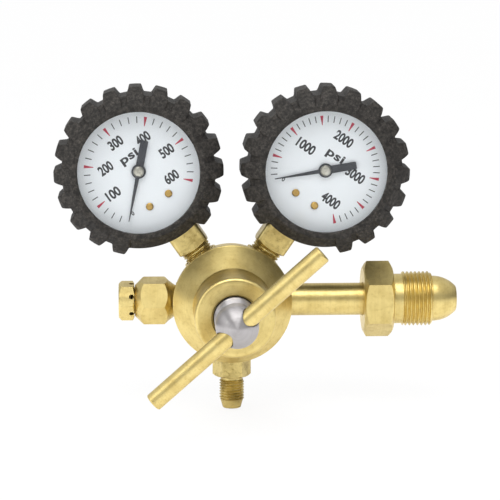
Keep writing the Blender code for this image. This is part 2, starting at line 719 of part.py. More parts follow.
def slip_ring(core):
    """The washer that lets the bonnet turn down without twisting the diaphragm."""
    front = PLATE_BACK + SLIP_RING_THICKNESS
    outer = SPIGOT_RADIUS - FIT
    profile = [(SLIP_RING_BORE, front), (outer, front), (outer, PLATE_BACK), (SLIP_RING_BORE, PLATE_BACK)]
    return add_part(place(turned("slip_ring", profile, MEDIUM_STEPS), core, TO_FRONT), steel)


def seat_nozzle(core):
    head_back = WEB_FRONT + FIT
    head_front = head_back + NOZZLE_HEAD
    corner = NOZZLE_ACROSS_FLATS / 2 / math.cos(math.pi / 6)
    profile = [
        (NOZZLE_BORE_RADIUS, head_front),
        (NOZZLE_ACROSS_FLATS / 2, head_front),
        (corner, head_front - FIT),
        (corner, head_back),
        (NOZZLE_SHANK_RADIUS, head_back),
        (NOZZLE_SHANK_RADIUS, WEB_REAR - NOZZLE_STANDOUT / 3),
        (NOZZLE_LIP_RADIUS, NOZZLE_REAR),
        (NOZZLE_BORE_RADIUS, NOZZLE_REAR),
    ]
    thing = place(turned("seat_nozzle", profile, SMALL_STEPS), core, TO_FRONT)
    ring = flats("nozzle_flats", 6, NOZZLE_ACROSS_FLATS, (WEB_FRONT + FIT + WEB_FRONT) / 2 - FIT,
                 head_front + FIT, 2 * corner)
    combine(thing, place(ring, core, TO_FRONT), "DIFFERENCE")
    return add_part(thing, brass)


def valve_stem(core):
    """The pin that the diaphragm pushes, the cup that holds the seat disc, and the guided tail."""
    disc_bore = SEAT_DISC_RADIUS + FIT
    lip_front = (SEAT_FRONT + 2 * SEAT_REAR) / 3
    profile = [
        (0, DIAPHRAGM_BACK - FIT),
        (STEM_PIN_RADIUS, DIAPHRAGM_BACK - FIT),
        (STEM_PIN_RADIUS, STEM_FLANGE_FRONT),
        (disc_bore, STEM_FLANGE_FRONT),
        (disc_bore, lip_front),
        (STEM_FLANGE_RADIUS, lip_front),
        (STEM_FLANGE_RADIUS, STEM_FLANGE_REAR),
        (STEM_TAIL_RADIUS, STEM_FLANGE_REAR),
        (STEM_TAIL_RADIUS, STEM_FLANGE_REAR - STEM_TAIL_LENGTH),
        (0, STEM_FLANGE_REAR - STEM_TAIL_LENGTH),
    ]
    return add_part(place(turned("valve_stem", profile, SMALL_STEPS), core, TO_FRONT), steel)


def seat_disc(core):
    bore = STEM_PIN_RADIUS + FIT
    profile = [(bore, SEAT_FRONT), (SEAT_DISC_RADIUS, SEAT_FRONT), (SEAT_DISC_RADIUS, SEAT_REAR),
               (bore, SEAT_REAR)]
    return add_part(place(turned("seat_disc", profile, SMALL_STEPS), core, TO_FRONT), polymer)


def valve_spring(core):
    radius = STEM_TAIL_RADIUS + FIT + 2 * VALVE_WIRE_RADIUS + FIT
    thing = coil("valve_spring", radius, VALVE_WIRE_RADIUS, PLUG_POCKET_FLOOR + FIT,
                 STEM_FLANGE_REAR - FIT, VALVE_COIL_TURNS, 8)
    return add_part(place(thing, core, TO_FRONT), spring_steel)


def rear_plug(core):
    """The hex plug that closes the high chamber: it seats the valve spring and guides the tail."""
    corner = PLUG_ACROSS_FLATS / 2 / math.cos(math.pi / 6)
    guide = STEM_TAIL_RADIUS + FIT
    pocket = guide + 4 * VALVE_WIRE_RADIUS + 3 * FIT
    guide_floor = PLUG_POCKET_FLOOR - PLUG_GUIDE_DEPTH
    head_rear = PLUG_HEAD_FRONT - PLUG_HEAD
    slope = (corner - PLUG_ACROSS_FLATS / 2) * 0.6
    profile = [
        (0, guide_floor),
        (guide, guide_floor),
        (guide, PLUG_POCKET_FLOOR),
        (pocket, PLUG_POCKET_FLOOR),
        (pocket, PLUG_FRONT),
        (PLUG_THREAD_RADIUS, PLUG_FRONT),
        (PLUG_THREAD_RADIUS, PLUG_HEAD_FRONT),
        (corner, PLUG_HEAD_FRONT),
        (corner, head_rear + slope),
        (PLUG_ACROSS_FLATS / 2 - FIT, head_rear),
        (0, head_rear),
    ]
    thing = place(turned("rear_plug", profile, MEDIUM_STEPS), core, TO_FRONT)
    ring = flats("plug_flats", 6, PLUG_ACROSS_FLATS, head_rear - FIT, PLUG_HEAD_FRONT + FIT, 2 * corner)
    combine(thing, place(ring, core, TO_FRONT), "DIFFERENCE")
    return add_part(thing, brass)


def plug_gasket(core):
    inner = PLUG_THREAD_RADIUS + FIT
    outer = inner + GASKET_WIDTH
    profile = [(inner, GASKET_FRONT), (outer, GASKET_FRONT), (outer, GASKET_REAR), (inner, GASKET_REAR)]
    return add_part(place(turned("plug_gasket", profile, MEDIUM_STEPS), core, TO_FRONT), copper)


def pipe_end(bore):
    """The tapered pipe thread's shank, as the last profile points of a fitting, back to its bore."""
    return [
        (PIPE_THREAD_RADIUS, PIPE_SHOULDER),
        (PIPE_THREAD_RADIUS - PIPE_TAPER, PIPE_END + 2 * PIPE_TAPER),
        (PIPE_THREAD_RADIUS - 2 * PIPE_TAPER, PIPE_END),
        (bore, PIPE_END),
    ]


def inlet_nipple(core):
    """A tube with a pipe thread at the body and a round nosed collar that the nut pulls in."""
    collar_front = INLET_REACH - NIPPLE_NOSE_LENGTH
    collar_back = collar_front - NIPPLE_COLLAR_LENGTH
    drop = NIPPLE_NOSE_RADIUS - NIPPLE_TIP_RADIUS
    curve_size = (NIPPLE_NOSE_LENGTH ** 2 + drop ** 2) / (2 * drop)
    sweep = math.degrees(math.asin(NIPPLE_NOSE_LENGTH / curve_size))
    nose = arc(NIPPLE_NOSE_RADIUS - curve_size, collar_front, curve_size, sweep, 0, 5)
    filter_bore = FILTER_RADIUS + FIT
    filter_seat = INLET_REACH - FILTER_RECESS - FILTER_LENGTH - FIT
    profile = [(filter_bore, INLET_REACH)] + nose + [
        (NIPPLE_NOSE_RADIUS, collar_back),
        (TUBE_RADIUS, collar_back),
        (TUBE_RADIUS, PIPE_SHOULDER),
    ]
    profile += pipe_end(NIPPLE_BORE_RADIUS)
    profile += [
        (NIPPLE_BORE_RADIUS, filter_seat),
        (filter_bore, filter_seat),
    ]
    return add_part(place(turned("inlet_nipple", profile, MEDIUM_STEPS), core, TO_RIGHT), brass)


def inlet_filter(core):
    front = INLET_REACH - FILTER_RECESS
    profile = [(0, front), (FILTER_RADIUS, front), (FILTER_RADIUS, front - FILTER_LENGTH),
               (0, front - FILTER_LENGTH)]
    return add_part(place(turned("inlet_filter", profile, SMALL_STEPS), core, TO_RIGHT), bronze)


def inlet_nut(core):
    """The hex nut that turns on the tube: chamfered hex, neck and the male valve thread."""
    corner = NUT_ACROSS_FLATS / 2 / math.cos(math.pi / 6)
    face = NUT_ACROSS_FLATS / 2 * 0.95
    slope = (corner - face) * math.tan(math.radians(30))
    hex_end = NUT_START + NUT_HEX_LENGTH
    thread_start = hex_end + NUT_NECK_LENGTH
    thread_end = thread_start + NUT_THREAD_LENGTH
    edge = 0.08 * NUT_THREAD_RADIUS
    tube_bore = TUBE_RADIUS + FIT
    collar_bore = NIPPLE_NOSE_RADIUS + FIT
    step = INLET_REACH - NIPPLE_NOSE_LENGTH - NIPPLE_COLLAR_LENGTH - FIT
    profile = [
        (collar_bore, thread_end),
        (NUT_THREAD_RADIUS - edge, thread_end),
        (NUT_THREAD_RADIUS, thread_end - edge),
        (NUT_THREAD_RADIUS, thread_start),
        (NUT_NECK_RADIUS, thread_start),
        (NUT_NECK_RADIUS, hex_end),
        (face, hex_end),
        (corner, hex_end - slope),
        (corner, NUT_START + slope),
        (face, NUT_START),
        (tube_bore, NUT_START),
        (tube_bore, step),
        (collar_bore, step),
    ]
    thing = place(turned("inlet_nut", profile, LARGE_STEPS), core, TO_RIGHT)
    ring = flats("nut_flats", 6, NUT_ACROSS_FLATS, NUT_START - FIT, hex_end + FIT, 2 * corner)
    combine(thing, place(ring, core, TO_RIGHT), "DIFFERENCE")
    return add_part(thing, brass)


def outlet_fitting(core):
    """A hex union with a pipe thread above and a male flare below."""
    corner = OUTLET_ACROSS_FLATS / 2 / math.cos(math.pi / 6)
    face = OUTLET_ACROSS_FLATS / 2 * 0.95
    slope = (corner - face) * math.tan(math.radians(30))
    thread_end = OUTLET_THREAD_START + OUTLET_THREAD_LENGTH
    tip = thread_end + OUTLET_NOSE_LENGTH
    shoulder = OUTLET_TIP_RADIUS + 0.7 * (OUTLET_THREAD_RADIUS - OUTLET_TIP_RADIUS)
    profile = [
        (OUTLET_BORE_RADIUS, tip),
        (OUTLET_TIP_RADIUS, tip),
        (shoulder, thread_end + FIT),
        (OUTLET_THREAD_RADIUS, thread_end - FIT),
        (OUTLET_THREAD_RADIUS, OUTLET_THREAD_START + FIT),
        (OUTLET_NECK_RADIUS, OUTLET_THREAD_START - FIT),
        (OUTLET_NECK_RADIUS, OUTLET_HEX_END),
        (face, OUTLET_HEX_END),
        (corner, OUTLET_HEX_END - slope),
        (corner, PIPE_SHOULDER + 2 * FIT + slope),
        (face, PIPE_SHOULDER + 2 * FIT),
        (PIPE_THREAD_RADIUS, PIPE_SHOULDER + 2 * FIT),
    ]
    profile += pipe_end(OUTLET_BORE_RADIUS)[1:]
    thing = place(turned("outlet_fitting", profile, MEDIUM_STEPS), core, DOWN)
    ring = flats("outlet_flats", 6, OUTLET_ACROSS_FLATS, PIPE_SHOULDER + FIT, OUTLET_HEX_END + FIT,
                 2 * corner)
    combine(thing, place(ring, core, DOWN), "DIFFERENCE")
    return add_part(thing, brass)


def relief_body(core):
    """The relief valve's hex: a pipe thread, a coned collar, the seat and a deep outer bevel."""
    corner = RELIEF_ACROSS_FLATS / 2 / math.cos(math.pi / 6)
    cap_hole = RELIEF_CAP_SHANK_RADIUS + FIT
    cap_seat = RELIEF_HEX_END + FIT - RELIEF_CAP_SHANK_LENGTH - FIT
    seat_lip = RELIEF_BORE_RADIUS * 1.4
    profile = [
        (cap_hole, RELIEF_HEX_END),
        (RELIEF_BEVEL_RADIUS, RELIEF_HEX_END),
        (corner, RELIEF_HEX_END - (corner - RELIEF_BEVEL_RADIUS)),
        (corner, RELIEF_HEX_START + (corner - RELIEF_COLLAR_RADIUS)),
        (RELIEF_COLLAR_RADIUS, RELIEF_HEX_START),
    ]
    profile += pipe_end(RELIEF_BORE_RADIUS)
    profile += [
        (RELIEF_BORE_RADIUS, RELIEF_SEAT_REACH),
        (seat_lip, RELIEF_SEAT_REACH),
        (seat_lip, RELIEF_SEAT_REACH - 2 * FIT),
        (RELIEF_GUIDE_RADIUS, RELIEF_SEAT_REACH - 2 * FIT),
        (RELIEF_GUIDE_RADIUS, cap_seat),
        (cap_hole, cap_seat),
    ]
    thing = place(turned("relief_body", profile, MEDIUM_STEPS), core, TO_LEFT)
    ring = flats("relief_flats", 6, RELIEF_ACROSS_FLATS, RELIEF_HEX_START - FIT, RELIEF_HEX_END + FIT,
                 2 * corner)
    combine(thing, place(ring, core, TO_LEFT, spin=RELIEF_TURN), "DIFFERENCE")
    return add_part(thing, brass)


def relief_cap(core):
    """The hex cap that loads the relief spring, with a vent hole in the middle of each flat."""
    corner = RELIEF_CAP_ACROSS_FLATS / 2 / math.cos(math.pi / 6)
    face = RELIEF_CAP_ACROSS_FLATS / 2 * 0.97
    start = RELIEF_HEX_END + FIT
    end = start + RELIEF_CAP_HEX
    slope = corner - face
    profile = [
        (0, end),
        (face, end),
        (corner, end - slope),
        (corner, start + slope / 2),
        (face, start),
        (RELIEF_CAP_SHANK_RADIUS, start),
        (RELIEF_CAP_SHANK_RADIUS, start - RELIEF_CAP_SHANK_LENGTH),
        (RELIEF_CAP_BORE_RADIUS, start - RELIEF_CAP_SHANK_LENGTH),
        (RELIEF_CAP_BORE_RADIUS, end - RELIEF_CAP_END_WALL),
        (0, end - RELIEF_CAP_END_WALL),
    ]
    thing = place(turned("relief_cap", profile, MEDIUM_STEPS), core, TO_LEFT)
    ring = flats("cap_flats", 6, RELIEF_CAP_ACROSS_FLATS, start - FIT / 2, end + FIT, 2 * corner)
    combine(thing, place(ring, core, TO_LEFT, spin=RELIEF_TURN), "DIFFERENCE")
    vents = []
    reach = start + RELIEF_VENT_SETBACK
    for i in range(6):
        angle = math.pi / 6 + i * math.pi / 3
        out = (math.cos(angle), math.sin(angle))
        inner = RELIEF_CAP_BORE_RADIUS - RELIEF_VENT_RADIUS
        vents.append(((inner * out[0], inner * out[1], reach), (corner * out[0], corner * out[1], reach),
                      RELIEF_VENT_RADIUS))
    combine(thing, place(rods("cap_vents", vents, TINY_STEPS), core, TO_LEFT, spin=RELIEF_TURN), "DIFFERENCE")
    return add_part(thing, brass)


def relief_poppet(core):
    back = RELIEF_SEAT_REACH + FIT
    shoulder = back + POPPET_THICKNESS
    profile = [
        (0, shoulder + POPPET_STEM_LENGTH),
        (POPPET_STEM_RADIUS, shoulder + POPPET_STEM_LENGTH),
        (POPPET_STEM_RADIUS, shoulder),
        (POPPET_RADIUS - FIT, shoulder),
        (POPPET_RADIUS, shoulder - FIT),
        (POPPET_RADIUS, back),
        (0, back),
    ]
    return add_part(place(turned("relief_poppet", profile, SMALL_STEPS), core, TO_LEFT), brass)


def relief_spring(core):
    low = RELIEF_SEAT_REACH + FIT + POPPET_THICKNESS + FIT
    high = RELIEF_HEX_END + FIT + RELIEF_CAP_HEX - RELIEF_CAP_END_WALL - FIT
    thing = coil("relief_spring", RELIEF_COIL_RADIUS, RELIEF_WIRE_RADIUS, low, high, RELIEF_COIL_TURNS, 8)
    return add_part(place(thing, core, TO_LEFT), spring_steel)


def socket(side, gauge):
    """The gauge's brass stem: pipe thread, square for a wrench, and the table inside the case that
    carries the tube, the movement and the dial."""
    inside = SOCKET_WIDTH
    profile = [
        (0, SOCKET_BORE_END),
        (SOCKET_BORE_RADIUS, SOCKET_BORE_END),
        (SOCKET_BORE_RADIUS, GAUGE_REACH - PIPE_END),
        (PIPE_THREAD_RADIUS - 2 * PIPE_TAPER, GAUGE_REACH - PIPE_END),
        (PIPE_THREAD_RADIUS - PIPE_TAPER, GAUGE_REACH - PIPE_END - 2 * PIPE_TAPER),
        (PIPE_THREAD_RADIUS, GAUGE_REACH - PIPE_SHOULDER),
        (PIPE_THREAD_RADIUS, SOCKET_SQUARE_END + 4 * PIPE_TAPER),
        (SOCKET_WIDTH / 2 - 2 * PIPE_TAPER, SOCKET_SQUARE_END + 3 * PIPE_TAPER),
        (SOCKET_CORNER_RADIUS, SOCKET_SQUARE_END),
        (SOCKET_CORNER_RADIUS, SOCKET_INNER_END),
        (0, SOCKET_INNER_END),
    ]
    thing = place(turned(side + "_socket", profile, MEDIUM_STEPS), gauge, DOWN)
    ring = flats(side + "_square", 4, SOCKET_WIDTH, SOCKET_INNER_END - FIT,
                 SOCKET_SQUARE_END + 2.5 * PIPE_TAPER, 2 * SOCKET_CORNER_RADIUS)
    combine(thing, place(ring, gauge, DOWN, spin=math.pi / 4), "DIFFERENCE")
    relief = block(side + "_table", (-inside, -inside, -SOCKET_TABLE_END),
                   (inside, -SOCKET_TABLE_HEIGHT, -SOCKET_INNER_END + FIT))
    combine(thing, place(relief, gauge), "DIFFERENCE")
    pillars = [((x, -SOCKET_TABLE_HEIGHT + FIT, z), (x, FIT - DIAL_BACK, z), PILLAR_RADIUS)
               for x, z in screw_places()]
    combine(thing, place(rods(side + "_pillars", pillars, TINY_STEPS), gauge), "UNION")
    holes = [((x, FIT - DIAL_BACK + DIAL_SCREW_LENGTH, z), (x, -DIAL_FRONT, z), DIAL_SCREW_RADIUS + FIT)
             for x, z in screw_places()]
    combine(thing, place(rods(side + "_tapped_holes", holes, TINY_STEPS), gauge), "DIFFERENCE")
    return add_part(thing, brass)


def screw_places():
    """Where the two dial screws stand, below the pointer's axis."""
    x = DIAL_SCREW_REACH * math.sin(DIAL_SCREW_ANGLE)
    z = -DIAL_SCREW_REACH * math.cos(DIAL_SCREW_ANGLE)
    return ((-x, z), (x, z))


def gauge_case(side, gauge):
    inner = CASE_RADIUS - CASE_WALL
    profile = [
        (0, CASE_BACK + CASE_WALL),
        (inner, CASE_BACK + CASE_WALL),
        (inner, CASE_FRONT),
        (CASE_RADIUS, CASE_FRONT),
        (CASE_RADIUS, CASE_BACK + CASE_WALL),
        (CASE_RADIUS - CASE_WALL, CASE_BACK),
        (0, CASE_BACK),
    ]
    thing = place(turned(side + "_case", profile, LARGE_STEPS), gauge, TO_FRONT)
    combine(thing, stem_opening(side + "_case_opening", gauge, CASE_RADIUS / 2), "DIFFERENCE")
    return add_part(thing, black_paint)


def stem_opening(name, gauge, reach):
    """The square hole that the socket leaves by, from this reach outwards."""
    half = SOCKET_WIDTH / 2 + FIT
    return place(block(name, (-half, -half, -2 * BOOT_TIP_RADIUS), (half, half, -reach)), gauge)


def gauge_lens(side, gauge):
    back = CASE_FRONT + FIT
    front = back + LENS_THICKNESS
    skirt_outer = CASE_RADIUS - CASE_WALL - FIT
    skirt_inner = skirt_outer - LENS_THICKNESS / 2
    profile = [
        (0, front),
        (LENS_RADIUS, front),
        (LENS_RADIUS, back),
        (skirt_outer, back),
        (skirt_outer, back - LENS_SKIRT),
        (skirt_inner, back - LENS_SKIRT),
        (skirt_inner, back),
        (0, back),
    ]
    return add_part(place(turned(side + "_lens", profile, LARGE_STEPS), gauge, TO_FRONT), clear)


def gauge_dial(side, gauge):
    bore = ARBOR_RADIUS + 2 * FIT
    profile = [(bore, DIAL_FRONT), (DIAL_RADIUS, DIAL_FRONT), (DIAL_RADIUS, DIAL_BACK), (bore, DIAL_BACK)]
    thing = place(turned(side + "_dial", profile, LARGE_STEPS), gauge, TO_FRONT)
    holes = [((x, FIT - DIAL_FRONT - DIAL_THICKNESS, z), (x, DIAL_THICKNESS - DIAL_BACK, z),
              DIAL_SCREW_RADIUS + FIT) for x, z in screw_places()]
    combine(thing, place(rods(side + "_dial_holes", holes, TINY_STEPS), gauge), "DIFFERENCE")
    return add_part(thing, white_paint)


def dial_screws(side, gauge):
    back = DIAL_FRONT + FIT
    front = back + DIAL_SCREW_HEAD
    profile = [
        (0, front),
        (DIAL_SCREW_HEAD_RADIUS * 0.7, front),
        (DIAL_SCREW_HEAD_RADIUS, front - DIAL_SCREW_HEAD / 2),
        (DIAL_SCREW_HEAD_RADIUS, back),
        (DIAL_SCREW_RADIUS, back),
        (DIAL_SCREW_RADIUS, DIAL_BACK - DIAL_SCREW_LENGTH + 2 * FIT),
        (0, DIAL_BACK - DIAL_SCREW_LENGTH + 2 * FIT),
    ]
    for hand, (x, z) in zip(("left", "right"), screw_places()):
        thing = turned(side + "_dial_screw_" + hand, profile, TINY_STEPS)
        add_part(place(thing, gauge, TO_FRONT, (x, 0, z)), brass)


def bourdon_tube(side, gauge):
    """The flattened tube, bent round the inside of the case from the socket to its free tip, where a
    pin takes the link."""
    start = 1.5 * math.pi - math.asin((SOCKET_WIDTH / 2 + FIT) / (TUBE_COIL_RADIUS - TUBE_HALF_THICKNESS))
    curve = tube_curve(side + "_bourdon_tube", TUBE_HALF_THICKNESS, 0)
    curve.extrude = TUBE_DEPTH / 2 - TUBE_HALF_THICKNESS
    count = 16
    points = []
    for i in range(count + 1):
        angle = start + (TUBE_TIP_ANGLE - start) * i / count
        points.append((TUBE_COIL_RADIUS * math.cos(angle), TUBE_COIL_RADIUS * math.sin(angle),
                       TUBE_FRONT - TUBE_DEPTH / 2))
    add_path(curve, points)
    thing = place(as_mesh(side + "_bourdon_tube", curve), gauge, TO_FRONT)
    x, z = tube_pin()
    pin = ((x, TUBE_HALF_THICKNESS - TUBE_FRONT, z), (x, -TUBE_FRONT - FIT - LINK_THICKNESS - FIT, z),
           LINK_PIN_RADIUS)
    combine(thing, place(rods(side + "_tip_pin", [pin], TINY_STEPS), gauge), "UNION")
    return add_part(thing, bronze)


def tube_pin():
    angle = TUBE_TIP_ANGLE + 2 * LINK_PIN_RADIUS / TUBE_COIL_RADIUS
    return TUBE_COIL_RADIUS * math.cos(angle), TUBE_COIL_RADIUS * math.sin(angle)


def sector_pivot():
    reach = PINION_RADIUS + SECTOR_RADIUS
    return reach * math.cos(SECTOR_AIM), reach * math.sin(SECTOR_AIM)


def sector_tail():
    x, z = sector_pivot()
    return x + SECTOR_TAIL * math.cos(SECTOR_AIM), z + SECTOR_TAIL * math.sin(SECTOR_AIM)


def plate_outline():
    """The movement plates' outline: round the pinion, the sector's pivot and the socket's table."""
    x, z = sector_pivot()
    top = 0.0046
    return [
        (-0.0056, 0.0006),
        (-0.0048, top),
        (0.0022, top),
        (x + 0.0026, z / 4 + 0.0022),
        (x + 0.0028, z - 0.0006),
        (x + 0.0004, z - 0.0030),
        (0.0030, -SOCKET_INNER_END - 0.0041),
        (-0.0012, -SOCKET_INNER_END - 0.0038),
    ]


def post_places():
    x, z = sector_pivot()
    return ((-0.0037, 0.0031), (x + 0.0010, -0.0020), (0.0014, z - 0.0024))


def movement_back_plate(side, gauge):
    """The rear plate of the movement, on the socket's table, with its three posts."""
    thing = slab(side + "_movement_back_plate", plate_outline(), BACK_PLATE, BACK_PLATE_FRONT,
                 [(0, 0, ARBOR_RADIUS + FIT), (*sector_pivot(), ARBOR_RADIUS + FIT)])
    place(thing, gauge, TO_FRONT)
    posts = [((x, z, BACK_PLATE_FRONT - FIT), (x, z, FRONT_PLATE - FIT), MOVEMENT_POST_RADIUS)
             for x, z in post_places()]
    combine(thing, place(rods(side + "_posts", posts, TINY_STEPS), gauge, TO_FRONT), "UNION")
    return add_part(thing, brass)


def movement_front_plate(side, gauge):
    thing = slab(side + "_movement_front_plate", plate_outline(), FRONT_PLATE, FRONT_PLATE + PLATE_SHEET,
                 [(0, 0, ARBOR_RADIUS + FIT), (*sector_pivot(), ARBOR_RADIUS + FIT)])
    return add_part(place(thing, gauge, TO_FRONT), brass)


def involute(angle):
    return math.tan(angle) - angle


def tooth(teeth, middle):
    """One gear tooth, as points of (radius, angle) round it. Its half angle at a radius is that of
    the tooth at the pitch circle, plus the involute at the pitch circle, less the one there."""
    pitch = MODULE * teeth / 2
    base = pitch * math.cos(PRESSURE_ANGLE)
    radii = [pitch - DEDENDUM * MODULE, pitch, pitch + ADDENDUM * MODULE]
    side = []
    for radius in radii:
        lean = math.acos(min(1.0, base / radius))
        half = math.pi / (2 * teeth) + involute(PRESSURE_ANGLE) - involute(lean) - BACKLASH / (2 * pitch)
        side.append((radius, half))
    points = [(radius, middle - half) for radius, half in side]
    points += [(radius, middle + half) for radius, half in reversed(side)]
    return points


def polar(points):
    return [(radius * math.cos(angle), radius * math.sin(angle)) for radius, angle in points]


def pinion(side, gauge):
    """The pinion and its arbor: the arbor carries the pointer in front of the dial."""
    step = 2 * math.pi / PINION_TEETH
    outline = []
    for i in range(PINION_TEETH):
        outline += tooth(PINION_TEETH, SECTOR_AIM + (i + 0.5) * step)
    middle = GEAR_HEIGHT + GEAR_THICKNESS / 2
    thing = slab(side + "_pinion", polar(outline), middle - PINION_FACE / 2, middle + PINION_FACE / 2)
    place(thing, gauge, TO_FRONT)
    arbor = ((0, 0, BACK_PLATE), (0, 0, POINTER_FRONT + FIT), ARBOR_RADIUS)
    combine(thing, place(rods(side + "_pinion_arbor", [arbor], TINY_STEPS), gauge, TO_FRONT), "UNION")
    return add_part(thing, brass)


def sector_gear(side, gauge):
    """The toothed sector on its own arbor: teeth on an arc, an open arm and a drilled tail."""
    step = 2 * math.pi / SECTOR_FULL_TEETH
    toward_pinion = SECTOR_AIM + math.pi
    first = toward_pinion + step
    outline = []
    for i in range(SECTOR_TEETH):
        outline += tooth(SECTOR_FULL_TEETH, first - (SECTOR_TEETH - 1 - i) * step)
    low_end = outline[0][1]
    high_end = outline[-1][1]
    rim = SECTOR_RADIUS - 7 * MODULE
    middle = (low_end + high_end) / 2
    hub = 3 * ARBOR_RADIUS
    tail_half = LINK_WIDTH / 2
    outline += [(rim, high_end), (rim, middle + 0.12), (hub, middle + 0.75), (hub, SECTOR_AIM - 1.0)]
    tail = sector_tail_end(tail_half)
    outline += tail
    outline += [(hub, SECTOR_AIM + 1.0), (hub, middle - 0.75), (rim, middle - 0.12), (rim, low_end)]
    holes = [(SECTOR_TAIL * math.cos(SECTOR_AIM), SECTOR_TAIL * math.sin(SECTOR_AIM), LINK_PIN_RADIUS + FIT)]
    thing = slab(side + "_sector_gear", polar(outline), GEAR_HEIGHT, GEAR_HEIGHT + GEAR_THICKNESS, holes)
    x, z = sector_pivot()
    place(thing, gauge, TO_FRONT, (x, 0, z))
    arbor = ((0, 0, BACK_PLATE), (0, 0, FRONT_PLATE + PLATE_SHEET), ARBOR_RADIUS)
    pin = rods(side + "_sector_arbor", [arbor], TINY_STEPS)
    combine(thing, place(pin, gauge, TO_FRONT, (x, 0, z)), "UNION")
    return add_part(thing, brass)


def sector_tail_end(half):
    """The round end of the sector's tail, as points of (radius, angle) about its pivot."""
    points = []
    for i in range(6):
        angle = SECTOR_AIM - math.pi / 2 + math.pi * i / 5
        x = SECTOR_TAIL * math.cos(SECTOR_AIM) + half * math.cos(angle)
        z = SECTOR_TAIL * math.sin(SECTOR_AIM) + half * math.sin(angle)
        points.append((math.hypot(x, z), math.atan2(z, x)))
    return points


def link(side, gauge):
    """The bar from the tube's tip to the sector's tail, with the pin that the tail turns on."""
    x, z = sector_tail()
    end = tube_pin()
    along = math.atan2(end[1] - z, end[0] - x)
    length = math.hypot(end[1] - z, end[0] - x)
    half = LINK_WIDTH / 2
    outline = []
    for i in range(6):
        angle = along - math.pi / 2 + math.pi * i / 5
        outline.append((length * math.cos(along) + half * math.cos(angle),
                        length * math.sin(along) + half * math.sin(angle)))
    outline += [(-a + length * math.cos(along), -b + length * math.sin(along)) for a, b in outline]
    back = TUBE_FRONT + FIT
    front = back + LINK_THICKNESS
    holes = [(length * math.cos(along), length * math.sin(along), LINK_PIN_RADIUS + FIT)]
    thing = slab(side + "_link", outline, back, front, holes)
    place(thing, gauge, TO_FRONT, (x, 0, z))
    pin = ((0, 0, back + LINK_THICKNESS / 2), (0, 0, GEAR_HEIGHT + GEAR_THICKNESS + FIT), LINK_PIN_RADIUS)
    combine(thing, place(rods(side + "_link_pin", [pin], TINY_STEPS), gauge, TO_FRONT, (x, 0, z)), "UNION")
    return add_part(thing, brass)


def hairspring(side, gauge):
    """The flat spiral that takes up the slack between the teeth."""
    inner = PINION_RADIUS * 0.62 + HAIRSPRING_WIRE_RADIUS
    middle = GEAR_HEIGHT + GEAR_THICKNESS / 2 + PINION_FACE / 2
    height = (middle + FRONT_PLATE) / 2
    curve = tube_curve(side + "_hairspring", HAIRSPRING_WIRE_RADIUS, 0)
    count = round(8 * HAIRSPRING_TURNS)
    points = []
    for i in range(count + 1):
        share = i / count
        radius = inner + (HAIRSPRING_OUTER_RADIUS - inner) * share
        angle = 2 * math.pi * HAIRSPRING_TURNS * share
        points.append((radius * math.cos(angle), radius * math.sin(angle), height))
    add_path(curve, points)
    thing = bpy.data.objects.new(side + "_hairspring", curve)
    return add_part(place(thing, gauge, TO_FRONT), spring_steel)


def pointer(side, gauge):
    """A slim blade with a broad tail and a round boss, at the dial's zero."""
    half_tail = POINTER_TAIL_WIDTH / 2
    half_neck = POINTER_NECK_WIDTH / 2
    outline = [
        (-half_neck / 4, -POINTER_TIP_REACH),
        (half_neck / 4, -POINTER_TIP_REACH),
        (half_neck, -POINTER_HUB_RADIUS * 0.9),
    ]
    outline += [(POINTER_HUB_RADIUS * math.sin(a), -POINTER_HUB_RADIUS * math.cos(a))
                for a in (0.6, 1.1, 1.6, 2.1, 2.55)]
    outline += [(half_tail, POINTER_TAIL_REACH), (-half_tail, POINTER_TAIL_REACH)]
    outline += [(-POINTER_HUB_RADIUS * math.sin(a), -POINTER_HUB_RADIUS * math.cos(a))
                for a in (2.55, 2.1, 1.6, 1.1, 0.6)]
    outline += [(-half_neck, -POINTER_HUB_RADIUS * 0.9)]
    thing = slab(side + "_pointer", outline, POINTER_BACK, POINTER_FRONT, [(0, 0, ARBOR_RADIUS + FIT)])
    return add_part(place(thing, gauge, TO_FRONT, spin=-DIAL_START), black_paint)


def pointer_cap(side, gauge):
    """The round cap that holds the pointer on its arbor."""
    back = POINTER_FRONT + FIT
    bore = ARBOR_RADIUS + FIT
    floor = POINTER_FRONT + 2 * FIT
    profile = [
        (0, back + CAP_THICKNESS),
        (CAP_RADIUS * 0.75, back + CAP_THICKNESS * 0.85),
        (CAP_RADIUS, back + CAP_THICKNESS * 0.4),
        (CAP_RADIUS, back),
        (bore, back),
        (bore, floor + FIT),
        (0, floor + FIT),
    ]
    return add_part(place(turned(side + "_pointer_cap", profile, SMALL_STEPS), gauge, TO_FRONT), brass)


